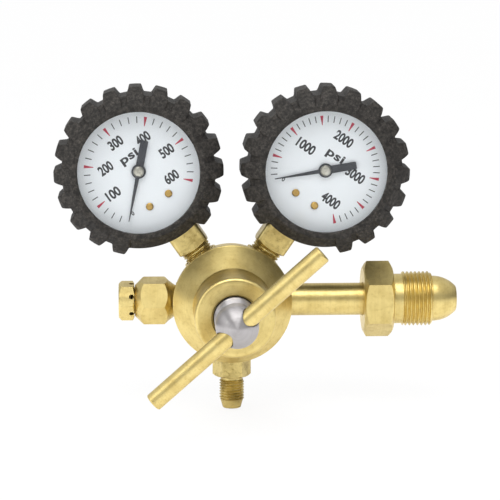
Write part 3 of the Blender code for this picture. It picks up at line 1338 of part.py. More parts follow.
def boot(side, gauge, mirror):
    """The rubber boot: a shell with a lip in front, an open back and blocky teeth round it, which
    run up the front bevel and are left out beside the stem."""
    inside = CASE_RADIUS + FIT
    back_inside = CASE_BACK - FIT
    back = back_inside - BOOT_WALL_BACK
    profile = [
        (BOOT_LIP_RADIUS, BOOT_FRONT),
        (BOOT_LIP_FACE, BOOT_FRONT),
        (BOOT_ROOT_RADIUS, BOOT_BEVEL_HEIGHT),
        (BOOT_ROOT_RADIUS, back + BOOT_WALL_BACK),
        (BOOT_ROOT_RADIUS - BOOT_WALL_BACK, back),
        (BOOT_BACK_OPENING, back),
        (BOOT_BACK_OPENING, back_inside),
        (inside, back_inside),
        (inside, CASE_FRONT + FIT),
        (LENS_RADIUS + FIT, CASE_FRONT + FIT),
        (LENS_RADIUS + FIT, LENS_SEAT),
        (BOOT_LIP_RADIUS, LENS_SEAT),
    ]
    thing = place(turned(side + "_boot", profile, LARGE_STEPS), gauge, TO_FRONT)
    combine(thing, boot_teeth(side, gauge, mirror), "UNION")
    combine(thing, stem_opening(side + "_boot_opening", gauge, BOOT_LIP_RADIUS / 2), "DIFFERENCE")
    return add_part(thing, rubber)


def boot_teeth(side, gauge, mirror):
    """The teeth alone, each from the middle of the boot's wall outwards."""
    form = bmesh.new()
    for k in range(TOOTH_COUNT):
        angle = FIRST_TOOTH + k * TOOTH_PITCH
        tooth_block(form, Matrix.Rotation((angle if mirror else -angle) - math.pi / 2, 4, "Z"))
    bmesh.ops.recalc_face_normals(form, faces=form.faces)
    mesh = bpy.data.meshes.new(side + "_teeth")
    form.to_mesh(mesh)
    form.free()
    return place(bpy.data.objects.new(side + "_teeth", mesh), gauge, TO_FRONT)


def tooth_block(form, turn):
    """One tooth: an outline of (reach, height), with flat sides that taper from its root to its tip
    and to the boot's lip."""
    inner = (CASE_RADIUS + FIT + BOOT_ROOT_RADIUS) / 2
    lip_inner = (BOOT_LIP_RADIUS + BOOT_LIP_FACE) / 2
    share = (BOOT_ROOT_RADIUS - TOOTH_LIP_RADIUS) / (TOOTH_SHOULDER_RADIUS - TOOTH_LIP_RADIUS)
    root_height = TOOTH_LIP_HEIGHT + share * (TOOTH_SHOULDER_HEIGHT - TOOTH_LIP_HEIGHT)
    outer = [
        (BOOT_ROOT_RADIUS, TOOTH_BASE_HEIGHT),
        (BOOT_TIP_RADIUS, TOOTH_BACK),
        (BOOT_TIP_RADIUS, TOOTH_FRONT),
        (TOOTH_SHOULDER_RADIUS, TOOTH_SHOULDER_HEIGHT),
        (BOOT_ROOT_RADIUS, root_height),
    ]
    outline = outer + [
        (TOOTH_LIP_RADIUS, TOOTH_LIP_HEIGHT),
        (lip_inner, (LENS_SEAT + BOOT_FRONT) / 2),
        (LENS_RADIUS + 2 * FIT, LENS_SEAT + FIT),
        (inner, CASE_FRONT),
        (inner, CASE_BACK),
    ]
    reaches = (lip_inner, BOOT_ROOT_RADIUS, BOOT_TIP_RADIUS)
    widths = (TOOTH_LIP_WIDTH, TOOTH_ROOT_WIDTH, TOOTH_TIP_WIDTH)
    sides = []
    for hand in (0.5, -0.5):
        halves = [hand * between(reach, reaches, widths) for reach, height in outline]
        sides.append([form.verts.new(turn @ Vector((reach, half, height)))
                      for half, (reach, height) in zip(halves, outline)])
    last = len(outer)
    for side in sides:
        form.faces.new(side[:last])
        form.faces.new(side[last - 1:] + side[:1])
    for i in range(len(outline)):
        k = (i + 1) % len(outline)
        form.faces.new((sides[0][i], sides[0][k], sides[1][k], sides[1][i]))


def between(value, places, amounts):
    """The amount at a value, in straight lines between three places."""
    low = 0 if value <= places[1] else 1
    share = (value - places[low]) / (places[low + 1] - places[low])
    return amounts[low] + share * (amounts[low + 1] - amounts[low])


def frame_empty(name, parent, at, turn=Matrix.Identity(4)):
    empty = bpy.data.objects.new(name, None)
    parts.objects.link(empty)
    return place(empty, parent, turn, at)


def gauge(side, core, lean):
    """One gauge on its stem. The frame leans to the side, with its own -Z towards the body."""
    at = (GAUGE_REACH * math.sin(lean), 0, GAUGE_REACH * math.cos(lean))
    frame = frame_empty(side + "_gauge_frame", core, at, Matrix.Rotation(lean, 4, "Y"))
    for build in (socket, gauge_case, gauge_lens, gauge_dial, dial_screws, bourdon_tube,
                  movement_back_plate, movement_front_plate, pinion, sector_gear, link, hairspring,
                  pointer, pointer_cap):
        build(side, frame)
    boot(side, frame, mirror=lean < 0)


def main():
    core = frame_empty("core", None, (-INLET_REACH, 0, 0))
    for build in (body, bonnet, adjusting_screw, tee_bar, spring_button, range_spring, diaphragm_plate,
                  diaphragm, slip_ring, seat_nozzle, valve_stem, seat_disc, valve_spring, rear_plug,
                  plug_gasket, inlet_nipple, inlet_filter, inlet_nut, outlet_fitting, relief_body,
                  relief_cap, relief_poppet, relief_spring):
        build(core)
    gauge("left", core, -GAUGE_LEAN)
    gauge("right", core, GAUGE_LEAN)


clear_scene()
parts = new_collection("gas_regulator")
cutters = new_collection("cutters")
brass = finish("brass", 0.78, 0.66, 0.36, 0.32)
steel = finish("steel", 0.62, 0.61, 0.60, 0.28)
spring_steel = finish("spring_steel", 0.42, 0.42, 0.43, 0.35)
thin_steel = finish("thin_steel", 0.66, 0.66, 0.66, 0.25)
copper = finish("copper", 0.80, 0.45, 0.32, 0.35)
bronze = finish("bronze", 0.62, 0.45, 0.25, 0.45)
polymer = finish("polymer", 0.88, 0.87, 0.82, 0.50, 0.0)
rubber = finish("rubber", 0.07, 0.065, 0.06, 0.70, 0.0)
black_paint = finish("black_paint", 0.02, 0.02, 0.02, 0.45, 0.0)
white_paint = finish("white_paint", 0.84, 0.87, 0.88, 0.45, 0.0)
clear = finish("clear", 0.95, 0.97, 0.98, 0.05, 0.0, 0.25)
main()
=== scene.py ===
# The looks of a cylinder gas regulator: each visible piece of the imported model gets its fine
# surface here, and every piece its finish. Lengths are in millimetres until a mesh is made, in the
# model's own frame: +X runs out of the inlet, -Y points at the viewer and +Z is up.
import json
import math

import bmesh
import bpy
import numpy as np
from bpy.props import FloatProperty, FloatVectorProperty, IntProperty, PointerProperty
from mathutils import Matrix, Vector


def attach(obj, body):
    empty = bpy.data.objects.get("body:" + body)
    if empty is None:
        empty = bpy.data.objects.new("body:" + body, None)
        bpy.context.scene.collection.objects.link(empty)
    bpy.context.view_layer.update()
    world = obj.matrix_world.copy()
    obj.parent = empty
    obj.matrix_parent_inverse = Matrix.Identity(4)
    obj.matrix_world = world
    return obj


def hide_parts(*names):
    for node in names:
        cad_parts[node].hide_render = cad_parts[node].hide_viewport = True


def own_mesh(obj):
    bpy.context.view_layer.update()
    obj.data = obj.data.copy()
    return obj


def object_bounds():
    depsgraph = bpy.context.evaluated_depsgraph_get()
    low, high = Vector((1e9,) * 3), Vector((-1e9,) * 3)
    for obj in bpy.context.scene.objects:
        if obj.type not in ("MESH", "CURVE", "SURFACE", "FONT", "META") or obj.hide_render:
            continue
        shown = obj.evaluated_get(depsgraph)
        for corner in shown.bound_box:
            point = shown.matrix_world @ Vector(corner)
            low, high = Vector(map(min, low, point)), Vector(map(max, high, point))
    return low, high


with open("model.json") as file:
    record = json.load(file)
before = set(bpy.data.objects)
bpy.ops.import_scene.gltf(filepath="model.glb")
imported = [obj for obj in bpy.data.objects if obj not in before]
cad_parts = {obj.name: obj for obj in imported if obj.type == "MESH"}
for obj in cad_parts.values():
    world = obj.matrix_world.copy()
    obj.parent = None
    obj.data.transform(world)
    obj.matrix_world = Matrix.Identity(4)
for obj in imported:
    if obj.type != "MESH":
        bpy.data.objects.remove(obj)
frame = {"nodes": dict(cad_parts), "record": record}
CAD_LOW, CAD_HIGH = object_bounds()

bl_info = {
    "name": "Gas regulator looks",
    "version": (1, 0, 0),
    "blender": (4, 5, 0),
    "location": "3D View > Sidebar > Regulator",
    "description": "Fine surfaces and finishes for the pieces of a cylinder gas regulator",
    "category": "Object",
}

METRE = 1000.0
FIT = 0.3
CUT_REACH = 12.0
SIDES = ("left", "right")

# Body and bonnet: heights count forward from the plane of the ports
BODY_X = -101.2
BODY_RADIUS = 24.0
BODY_REAR = -14.0
BODY_EDGE = 1.8
SHOULDER = 8.2
SPIGOT_RADIUS = 20.5
SPIGOT_FRONT = 13.7
PORT_FACE = 25.0
PORT_RADIUS = 8.1
PORT_SHOULDER = PORT_FACE + FIT
GAUGE_LEAN = 34.7
CHAMBER_RADIUS = 8.0
CHAMBER_FLOOR = -9.0
BOWL_RADIUS = 16.2
BOWL_FLOOR = 9.5
BOSS_START = 18.0
PORT_BORE = 7.1
PORT_BORE_SPAN = (15.6, 27.0)
BONNET_BACK = 8.5
FLANGE_RADIUS = 26.6
FLANGE_FRONT = 11.5
CONE_FOOT = (26.2, 11.9)
CONE_TOP = (17.9, 21.9)
NOSE_RADIUS = 17.6
NOSE_FOOT = 22.8
NOSE_FRONT = 45.4
NOSE_EDGE = 1.9
MOUTH_RADIUS = 10.1
MOUTH_FLOOR = 43.5
SKIRT_RADIUS = 20.8
SKIRT_END = 14.2
SPRING_BORE = 14.0
SPRING_BORE_SPAN = (16.0, 36.0)
THREAD_BORE = 9.5
VENT_HEIGHT = 28.9
VENT_RADIUS = 1.0
VENT_SPAN = (12.0, 20.0)

# Handle
SCREW_RADIUS = 9.2
SCREW_FOOT = 35.7
SCREW_NOSE = (4.5, 36.7)
SCREW_APEX = 73.0
DOME_HEIGHT = 8.0
SCREW_EDGE = 0.6
THREAD_FOOT = 37.6
THREAD_TOP = 58.0
BAR_RADIUS = 4.0
BAR_EDGE = 0.5
BAR_LENGTH = 95.6
BAR_HEIGHT = 67.9
BAR_TILT = 41.5

# Rear plug and its gasket
GASKET_BORE = 8.3
GASKET_RADIUS = 10.7
GASKET_FRONT = -14.3
GASKET_REAR = -15.1
PLUG_SPIGOT = 7.4
PLUG_SPIGOT_END = -12.0
PLUG_FRONT = -15.4
PLUG_REAR = -21.4
PLUG_FLATS = 19.05

# Inlet: reaches count from the body's axis
INLET_REACH = 101.2
PIPE_END = 15.9
TUBE_RADIUS = 7.25
COLLAR_START = 82.3
COLLAR_RADIUS = 10.2
NOSE_START = 90.6
TIP_RADIUS = 5.5
NIPPLE_BORE = 2.0
FILTER_BORE = 3.2
FILTER_RADIUS = 2.9
FILTER_RECESS = 1.4
FILTER_LENGTH = 6.5
NUT_START = 59.0
NUT_HEX_END = 72.4
NUT_NECK_END = 76.9
NUT_END = 90.0
NUT_FLATS = 30.0
NUT_NECK_RADIUS = 11.2
NUT_THREAD_RADIUS = 12.25
NUT_BORE = 7.55
NUT_COUNTERBORE = 10.5
NUT_SEAT = 82.0
NUT_EDGE = 0.98

# Outlet
OUTLET_FLATS = 15.0
OUTLET_HEX_START = 25.9
OUTLET_HEX_END = 34.7
OUTLET_NECK_RADIUS = 4.9
OUTLET_THREAD_START = 36.5
OUTLET_THREAD_END = 45.3
OUTLET_THREAD_RADIUS = 5.55
OUTLET_TIP_RADIUS = 4.05
OUTLET_END = 49.3
OUTLET_BORE = 2.2

# Relief valve
RELIEF_FLATS = 19.05
RELIEF_TURN = -68.0
RELIEF_HEX_START = 28.3
RELIEF_HEX_END = 43.4
RELIEF_COLLAR_RADIUS = 9.0
RELIEF_BEVEL_RADIUS = 7.0
CAP_FLATS = 15.8
CAP_START = 43.7
CAP_END = 50.7
CAP_SHANK_RADIUS = 6.0
CAP_SHANK_START = 37.0
VENT_REACH = 44.95
CAP_VENT_RADIUS = 1.1
CAP_VENT_SPAN = (4.0, 9.0)
CAP_THREAD = 6.3
CAP_THREAD_FOOT = 36.7
CAP_BORE = 4.7
CAP_WALL = 1.7
RELIEF_CHAMBER = 5.0
SEAT_BORE = 2.2
SEAT_RIM = 3.08
SEAT_HEIGHT = 30.6
SEAT_LIFT = 0.6

# Gauges: heights count forward from the port plane, reaches from the gauge's own axis
GAUGE_REACH = 72.5
CASE_RADIUS = 31.0
CASE_WALL = 0.8
CASE_BACK = -10.5
CASE_FRONT = 13.4
LENS_RADIUS = 30.6
LENS_BACK = 13.7
LENS_FRONT = 14.9
LENS_SKIRT = 10.7
LENS_WALL = 0.6
DIAL_RADIUS = 28.2
DIAL_BORE = 1.0
DIAL_BACK = 8.2
DIAL_FRONT = 9.0
DIAL_SCREW_PLACES = ((-5.07, -15.70), (5.07, -15.70))
DIAL_SCREW_RADIUS = 1.7
DIAL_SCREW_BACK = 9.3
DIAL_SCREW_FRONT = 10.0
DIAL_SCREW_FOOT = 5.6
DIAL_SCREW_SHANK = 0.8
# Turns of the screws' slots, in radians
SLOT_TURNS = (0.5, 2.3)
SLOT_WIDTH = 0.48
SLOT_DEPTH = 0.32
SOCKET_WIDTH = 14.5
SOCKET_CORNER = 9.6
SOCKET_INNER_END = 9.0
SOCKET_TABLE_END = 29.0
SOCKET_TABLE = -1.0
PILLAR_RADIUS = 1.8
SQUARE_END = 42.2
SOCKET_END = 56.6
PIPE_RADIUS = 6.8
STEM_CUT = 75.0
PIPE_TIP_RADIUS = 5.8
# The thread inside a port, from its inner end out to the port's face
SHANK = ((PIPE_TIP_RADIUS, PIPE_END), (6.3, PIPE_END + 1.0), (PIPE_RADIUS, PORT_SHOULDER))
POINTER_BACK = 10.2
POINTER_FRONT = 10.7
POINTER_TIP = 22.8
POINTER_TAIL = 13.9
POINTER_TAIL_WIDTH = 3.4
POINTER_NECK_WIDTH = 1.1
POINTER_HUB = 3.2
POINTER_BORE = 0.9
CAP_RADIUS = 2.4
CAP_BACK = 11.0
CAP_FRONT = 12.2

# Rubber boot
LIP_RADIUS = 26.9
LIP_FACE = 29.3
BOOT_FRONT = 18.0
BOOT_BEVEL = 13.2
BOOT_RADIUS = 33.9
BOOT_BACK = -12.4
BACK_OPENING = 24.0
BOOT_INSIDE = 31.3
LENS_SEAT = 15.2
TOOTH_RADIUS = 37.5
TOOTH_COUNT = 17
TOOTH_PITCH = 18.2
FIRST_TOOTH = 20.0
# A tooth's half width at three radii, and its flank's share of its depth
TOOTH_HALVES = ((28.1, BOOT_RADIUS, TOOTH_RADIUS), (3.0, 3.6, 2.45))
FLANK_SHARE = 0.32
# Columns in each gap between teeth, in the wide gap after the last tooth, and the flanks' foot
GAP_COLUMNS = 4
LAST_GAP_COLUMNS = 44
FLANK_FOOT = 1.35

# Dial print, angles clockwise from the top of the dial
SCALE_END = 135.0
SCALE_SWEEP = 278.0
POINTER_REST = -134.0
DIVISIONS = 5
# Each gauge's full scale, the value between main divisions and the value between numbers
SCALES = {"left": (600, 100, 100), "right": (4000, 500, 1000)}
# Marks: outer reach, inner reach, outer width and inner width
MAIN_MARK = (24.2, 20.0, 1.4, 0.3)
SMALL_MARK = (24.2, 21.3, 0.4, 0.4)
NUMBER_REACH = 18.6
ZERO_ANGLE = -137.0
ZERO_REACH = 19.0
ZERO_SIZE = (1.2, 2.0)
# The unit's width, height, middle, boldness and spacing
UNIT_PRINT = (8.6, 4.9, (0.2, 7.3), 0.030, 1.06)
INK_LIFT = 0.005

# Stage, in metres, but for the camera's sensor in millimetres
TARGET = Vector((-0.0929, 0, 0.0226))
SENSOR = 36.0
FLOOR_DROP = 0.0006
FLOOR_REACH = 6.0


def millimetres(name, description, default, low, high):
    """A small size that a user may change."""
    return FloatProperty(name=name, description=description + ", mm", default=default, min=low,
                         max=high)


def colour(name, description, default):
    """A colour that a user may change."""
    return FloatVectorProperty(name=name, description=description, subtype="COLOR", size=3,
                               default=default, min=0, max=1)


class SurfaceSizes(bpy.types.PropertyGroup):
    """Small sizes of the fine surfaces, in millimetres"""

    edge: millimetres("Edge rounding", "Rounding of a machined edge", 0.35, 0.05, 1.0)
    steps: IntProperty(name="Steps round a piece", description="Columns round a turned surface",
                       default=168, min=48, max=360)
    pipe_pitch: millimetres("Pipe thread pitch", "Gauge stem thread", 1.411, 0.5, 3.0)
    nut_pitch: millimetres("Nut thread pitch", "Inlet nut thread", 1.814, 0.5, 3.0)
    outlet_pitch: millimetres("Outlet thread pitch", "Flare thread", 1.27, 0.5, 3.0)
    screw_pitch: millimetres("Screw thread pitch", "Adjusting screw", 1.5875, 0.5, 3.0)
    number_height: millimetres("Number height", "Numbers on the dials", 4.6, 1.0, 8.0)
    number_width: millimetres("Digit width", "One digit with its gap", 2.25, 0.5, 6.0)
    print_depth: millimetres("Print thickness", "Ink on the dials", 0.03, 0.01, 0.2)


class SurfaceFinishes(bpy.types.PropertyGroup):
    """Colours and gloss of the finishes"""

    brass: colour("Brass", "Clean satin brass", (0.78, 0.63, 0.258))
    brass_deep: colour("Deep brass", "Brass where it has darkened", (0.52, 0.38, 0.12))
    brass_roughness: FloatProperty(name="Brass roughness", description="Of the satin brass",
                                   default=0.34, min=0, max=1, subtype="FACTOR")
    steel: colour("Steel", "Turned steel", (0.47, 0.45, 0.45))
    rubber: colour("Rubber", "Boot rubber", (0.026, 0.023, 0.020))
    dial: colour("Dial", "Dial enamel", (0.88, 0.91, 0.93))
    black: colour("Black ink", "Numbers and lines", (0.018, 0.019, 0.021))
    red: colour("Red ink", "Main divisions", (0.55, 0.02, 0.06))


class StageSettings(bpy.types.PropertyGroup):
    """Camera and light"""

    azimuth: FloatProperty(name="Azimuth", description="Camera's turn round the part",
                           default=math.radians(-2.6), subtype="ANGLE", unit="ROTATION")
    elevation: FloatProperty(name="Elevation", description="Camera's height above the horizon",
                             default=math.radians(9.0), subtype="ANGLE", unit="ROTATION")
    distance: FloatProperty(name="Distance", description="From the camera to the port plane",
                            default=1.0, subtype="DISTANCE", unit="LENGTH")
    field: FloatProperty(name="Field of view", description="Across the picture",
                         default=math.radians(12.8), subtype="ANGLE", unit="ROTATION")
    key: FloatProperty(name="Top light", description="Power of the soft light above, watts",
                       default=6.5, min=0)
    fill: FloatProperty(name="Side light", description="Power of the soft light on the left, watts",
                        default=2.2, min=0)
    room: FloatProperty(name="Room light", description="Strength of the light all round",
                        default=1.0, min=0)


def sizes():
    """The sizes that a user may change."""
    return bpy.context.scene.regulator_sizes


def colours():
    """The colours that a user may change."""
    return bpy.context.scene.regulator_finishes


class Axis:
    """A line that a piece is built on: its start, its direction, and two directions across it."""

    def __init__(self, start, along, across):
        self.start = np.array(start, float)
        self.along = np.array(along, float) / np.linalg.norm(along)
        self.across = np.array(across, float) / np.linalg.norm(across)
        self.up = np.cross(self.along, self.across)

    def place(self, x, y, height):
        """Points from two distances across the axis and one along it."""
        x, y, height = np.broadcast_arrays(x, y, height)
        return (self.start + x[..., None] * self.across + y[..., None] * self.up
                + height[..., None] * self.along)


def lean_of(side):
    """The way from the body to a gauge, and the way to that gauge's right."""
    angle = math.radians(GAUGE_LEAN if side == "right" else -GAUGE_LEAN)
    outward = np.array((math.sin(angle), 0, math.cos(angle)))
    rightward = np.array((math.cos(angle), 0, -math.sin(angle)))
    return outward, rightward


def dial_axis(side):
    """A gauge's own axis, towards the viewer."""
    outward, rightward = lean_of(side)
    return Axis(np.array((BODY_X, 0, 0)) + GAUGE_REACH * outward, (0, -1, 0), rightward)


def stem_axis(side):
    """The axis of a gauge's stem, from the gauge's middle down to the body."""
    outward, rightward = lean_of(side)
    return Axis(np.array((BODY_X, 0, 0)) + GAUGE_REACH * outward, -outward, rightward)


CENTRE = (BODY_X, 0, 0)
TO_FRONT = Axis(CENTRE, (0, -1, 0), (1, 0, 0))
TO_INLET = Axis(CENTRE, (1, 0, 0), (0, 1, 0))
TO_OUTLET = Axis(CENTRE, (0, 0, -1), (1, 0, 0))
TO_RELIEF = Axis(CENTRE, (-1, 0, 0), (0, 0, 1))
BAR_AXIS = Axis((BODY_X, -BAR_HEIGHT, 0),
                (math.cos(math.radians(BAR_TILT)), 0, math.sin(math.radians(BAR_TILT))), (0, -1, 0))


def circle(steps):
    """Even angles once round, without the last one that falls on the first."""
    return np.linspace(0, 2 * math.pi, steps, endpoint=False)


def smooth(value, low, high):
    """0 below low, 1 above high, and an S curve between."""
    share = np.clip((value - low) / (high - low), 0, 1)
    return share * share * (3 - 2 * share)


def soften(outline, size, closed=False, steps=4):
    """Rounds the corners of an outline of (radius, height) rows. Each corner becomes a parabola
    between the points at the rounding's size on its two sides, with a row just outside each end
    that keeps the long faces flat. size is one number, or one for each point."""
    count = len(outline)
    amount = np.broadcast_to(np.asarray(size, float), (count,))
    rows = []
    for j in range(count):
        here = outline[j]
        inside = closed or 0 < j < count - 1
        if not inside or amount[j] == 0:
            rows.append(here)
            continue
        before = outline[(j - 1) % count] - here
        after = outline[(j + 1) % count] - here
        lengths = [np.maximum(np.linalg.norm(v, axis=-1, keepdims=True), 1e-6)
                   for v in (before, after)]
        reach = np.minimum(np.minimum(lengths[0], lengths[1]) * 0.30, amount[j])
        first = here + before / lengths[0] * reach
        last = here + after / lengths[1] * reach
        rows.append(here + before / lengths[0] * reach * 1.6)
        for i in range(steps + 1):
            t = i / steps
            rows.append((1 - t) ** 2 * first + 2 * t * (1 - t) * here + t * t * last)
        rows.append(here + after / lengths[1] * reach * 1.6)
    return np.array(rows)


def densify(rows, spans, longest, closed=False):
    """Adds rows between rows where they run inside one of the spans of height, so that no step
    there is longer than longest."""
    dense = []
    count = len(rows)
    for j in range(count if closed else count - 1):
        start, end = rows[j], rows[(j + 1) % count]
        dense.append(start)
        low, high = sorted((start[..., 1].mean(), end[..., 1].mean()))
        if not any(high > a and low < b for a, b in spans):
            continue
        length = np.linalg.norm(end - start, axis=-1).max()
        pieces = int(math.ceil(length / longest))
        dense += [start + (end - start) * k / pieces for k in range(1, pieces)]
    if not closed:
        dense.append(rows[-1])
    return np.array(dense)


def flats_radius(angles, sides, across, corner, turn):
    """Reach of a many-sided bar with rounded corners: the flat's distance over the cosine of the
    angle from its middle, and on a corner the far side of a circle of the corner's radius."""
    half = math.pi / sides
    apothem = across / 2
    away = np.abs((angles - turn + half) % (2 * half) - half)
    flat = apothem / np.cos(away)
    centre = (apothem - corner) / math.cos(half)
    off = np.clip(half - away, 0, None)
    beyond = np.maximum(corner ** 2 - (centre * np.sin(off)) ** 2, 0)
    round_reach = centre * np.cos(off) + np.sqrt(beyond)
    edge = math.atan2(centre * math.sin(half), apothem)
    return np.where(away <= edge, flat, round_reach)


def flats_angles(sides, across, corner, turn, between=14, on_corner=5):
    """Angles round a many-sided bar, closer together at its corners."""
    half = math.pi / sides
    apothem = across / 2
    edge = math.atan2((apothem - corner) * math.tan(half), apothem)
    span = np.linspace(-1, 1, between)
    flat = edge * np.sign(span) * (1 - (1 - np.abs(span)) ** 1.6)
    bend = np.linspace(edge, 2 * half - edge, on_corner + 2)[1:-1]
    side = np.concatenate((flat, bend))
    return (turn + side[None, :] + np.arange(sides)[:, None] * 2 * half).ravel()


def clip_to(outline, reach):
    """Slides each outline point that lies beyond the flats back towards its lower neighbour, so
    that a row of points runs exactly along the edge between a chamfer and the flats."""
    rows = np.broadcast_to(outline[:, None, :], (len(outline), len(reach), 2)).copy()
    for j in range(len(outline)):
        radius = outline[j, 0]
        near = [outline[k] for k in (j - 1, j + 1)
                if 0 <= k < len(outline) and outline[k, 0] < radius]
        if radius <= reach.min():
            continue
        if not near:
            rows[j, :, 0] = np.minimum(radius, reach)
            continue
        lower = near[0]
        share = np.clip((reach - lower[0]) / (radius - lower[0]), 0, 1)
        rows[j] = lower + share[:, None] * (outline[j] - lower)
    return rows


def cut_thread(radius, height, angles, crest, pitch, depth, start, end):
    """A screw thread: a V groove with a flat crest and root, whose phase is the height in pitches
    less the turn. It fades in over one pitch at each end."""
    phase = np.abs(2 * ((height / pitch - angles / (2 * math.pi)) % 1) - 1)
    groove = smooth(phase, 0.10, 0.90) * 0.35 + np.clip((phase - 0.12) / 0.76, 0, 1) * 0.65
    fade = smooth(height, start - 0.2 * pitch, start + 0.6 * pitch)
    fade = fade * (1 - smooth(height, end - 0.3 * pitch, end + 0.4 * pitch))
    return np.minimum(radius, crest - depth * groove * fade)


def surface(points, along, around, ring=False):
    """A surface over a grid of points: rows along the profile, columns that close round the piece.
    A first or last row that has shrunk to one point becomes a pole. along and around are the two
    distances that its UV map holds, in metres."""
    rows, columns = points.shape[:2]
    index = np.arange(rows * columns).reshape(rows, columns)
    if not ring:
        for end in (0, -1):
            if np.ptp(points[end], axis=0).max() < 1e-6:
                index[end] = index[end, 0]
    down = np.arange(rows) if ring else np.arange(rows - 1)
    below = (down + 1) % rows
    right = (np.arange(columns) + 1) % columns
    corners = np.stack((index[down][:, np.arange(columns)], index[down][:, right],
                        index[below][:, right], index[below][:, np.arange(columns)]), axis=-1)
    u = np.concatenate((around, [2 * around[-1] - around[-2]]))
    v = np.concatenate((along, [2 * along[-1] - along[-2]]))
    left, over = np.meshgrid(np.arange(columns), down)
    steps = ((0, 0), (1, 0), (1, 1), (0, 1))
    uv = np.stack([np.stack((u[left + i], v[over + j]), -1) for i, j in steps], axis=-2)
    return {"points": points.reshape(-1, 3), "corners": corners.reshape(-1, 4),
            "uv": uv.reshape(-1, 4, 2)}


def turned(axis, outline, angles=None, shape=None, ring=False):
    """A surface of revolution: the outline's (radius, height) rows carried round the axis. shape,
    where given, changes the radius by radius, height and angle, and so cuts threads and pads."""
    if angles is None:
        angles = circle(sizes().steps)
    rows = outline if outline.ndim == 3 else outline[:, None, :]
    rows = np.broadcast_to(rows, (len(rows), len(angles), 2))
    radius, height = rows[..., 0], rows[..., 1]
    if shape is not None:
        radius = shape(radius, height, angles[None, :])
    points = axis.place(radius * np.cos(angles), radius * np.sin(angles), height)
    step = np.linalg.norm(np.diff(rows[:, 0], axis=0), axis=1)
    along = np.concatenate(([0], np.cumsum(step))) / METRE
    around = (angles - angles[0]) * np.median(radius) / METRE
    return surface(points, along, around, ring)


def joined(parts):
    """Several surfaces as one, each turned the right way out by the sign of its volume."""
    points, corners, uv, start = [], [], [], 0
    for part in parts:
        place, face, flat = part["points"], part["corners"], part["uv"]
        middle = place - place.mean(axis=0)
        a, b, c, d = (middle[face[:, k]] for k in range(4))
        triangles = (np.cross(b, c), np.cross(c, d))
        volume = sum(np.einsum("ij,ij->i", a, cross).sum() for cross in triangles)
        if volume < 0:
            face, flat = face[:, ::-1], flat[:, ::-1]
        points.append(place)
        corners.append(face + start)
        uv.append(flat)
        start += len(place)
    return np.concatenate(points), np.concatenate(corners), np.concatenate(uv)


def new_object(name, data):
    """A new object in the scene."""
    thing = bpy.data.objects.new(name, data)
    bpy.context.scene.collection.objects.link(thing)
    return thing


def make(name, parts, finish, node=None, body="regulator", adders=(), cutters=(),
         sharp=35.0):
    """A finished piece from its surfaces: its mesh, what is joined to it and cut from it, its
    finish, the node it replaces and the body it rides on."""
    points, corners, uv = joined(parts)
    used, fresh = np.unique(corners, return_inverse=True)
    corners = fresh.reshape(corners.shape)
    points = points[used]
    kept = np.ones(corners.shape, bool)
    for k in range(4):
        kept[:, k] = corners[:, k] != corners[:, (k + 1) % 4]
    total = kept.sum(axis=1)
    kept &= (total >= 3)[:, None]
    total = total[total >= 3]
    mesh = bpy.data.meshes.new(name)
    mesh.vertices.add(len(points))
    mesh.vertices.foreach_set("co", (points / METRE).ravel())
    mesh.loops.add(int(total.sum()))
    mesh.loops.foreach_set("vertex_index", corners[kept].astype(np.int32))
    mesh.polygons.add(len(total))
    starts = np.concatenate(([0], np.cumsum(total)[:-1])).astype(np.int32)
    mesh.polygons.foreach_set("loop_start", starts)
    mesh.uv_layers.new(name="Surface").data.foreach_set("uv", uv[kept].ravel())
    mesh.update(calc_edges=True)
    mesh.validate()
    piece = new_object(name, mesh)
    if adders:
        combine(piece, adders, "UNION")
    if cutters:
        combine(piece, cutters, "DIFFERENCE")
    piece.data.materials.clear()
    piece.data.materials.append(finishes()[finish])
    piece.data.shade_smooth()
    piece.data.set_sharp_from_angle(angle=math.radians(sharp))
    if node:
        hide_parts(node)
    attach(piece, body)


def combine(piece, parts, operation):
    """Joins closed surfaces to a piece or cuts them from it, and keeps the result as its mesh."""
    points, corners = joined(parts)[:2]
    faces = [list(dict.fromkeys(face)) for face in corners.tolist()]
    mesh = bpy.data.meshes.new("cutter")
    mesh.from_pydata((points / METRE).tolist(), [], faces)
    cutter = new_object("cutter", mesh)
    clean_up(mesh)
    step = piece.modifiers.new("hole", "BOOLEAN")
    step.operation = operation
    step.object = cutter
    bpy.context.view_layer.update()
    ready = piece.evaluated_get(bpy.context.evaluated_depsgraph_get())
    result = bpy.data.meshes.new_from_object(ready)
    piece.modifiers.clear()
    old, piece.data = piece.data, result
    bpy.data.meshes.remove(old)
    result.name = piece.name
    bpy.data.objects.remove(cutter)
    bpy.data.meshes.remove(mesh)


def clean_up(mesh, outwards=False):
    """Merges points that fall together, drops what no face uses and, where asked, turns the faces
    outwards."""
    form = bmesh.new()
    form.from_mesh(mesh)
    bmesh.ops.remove_doubles(form, verts=form.verts, dist=1e-7)
    bmesh.ops.delete(form, geom=[v for v in form.verts if not v.link_faces], context="VERTS")
    if outwards:
        bmesh.ops.recalc_face_normals(form, faces=form.faces)
    form.to_mesh(mesh)
    form.free()


def rod(axis, x, y, low, high, radius, steps=32):
    """A plain closed cylinder beside an axis, from one height to another."""
    beside = Axis(axis.place(x, y, 0), axis.along, axis.across)
    outline = np.array([(0, low), (radius, low), (radius, high), (0, high)], float)
    return turned(beside, outline, circle(steps))


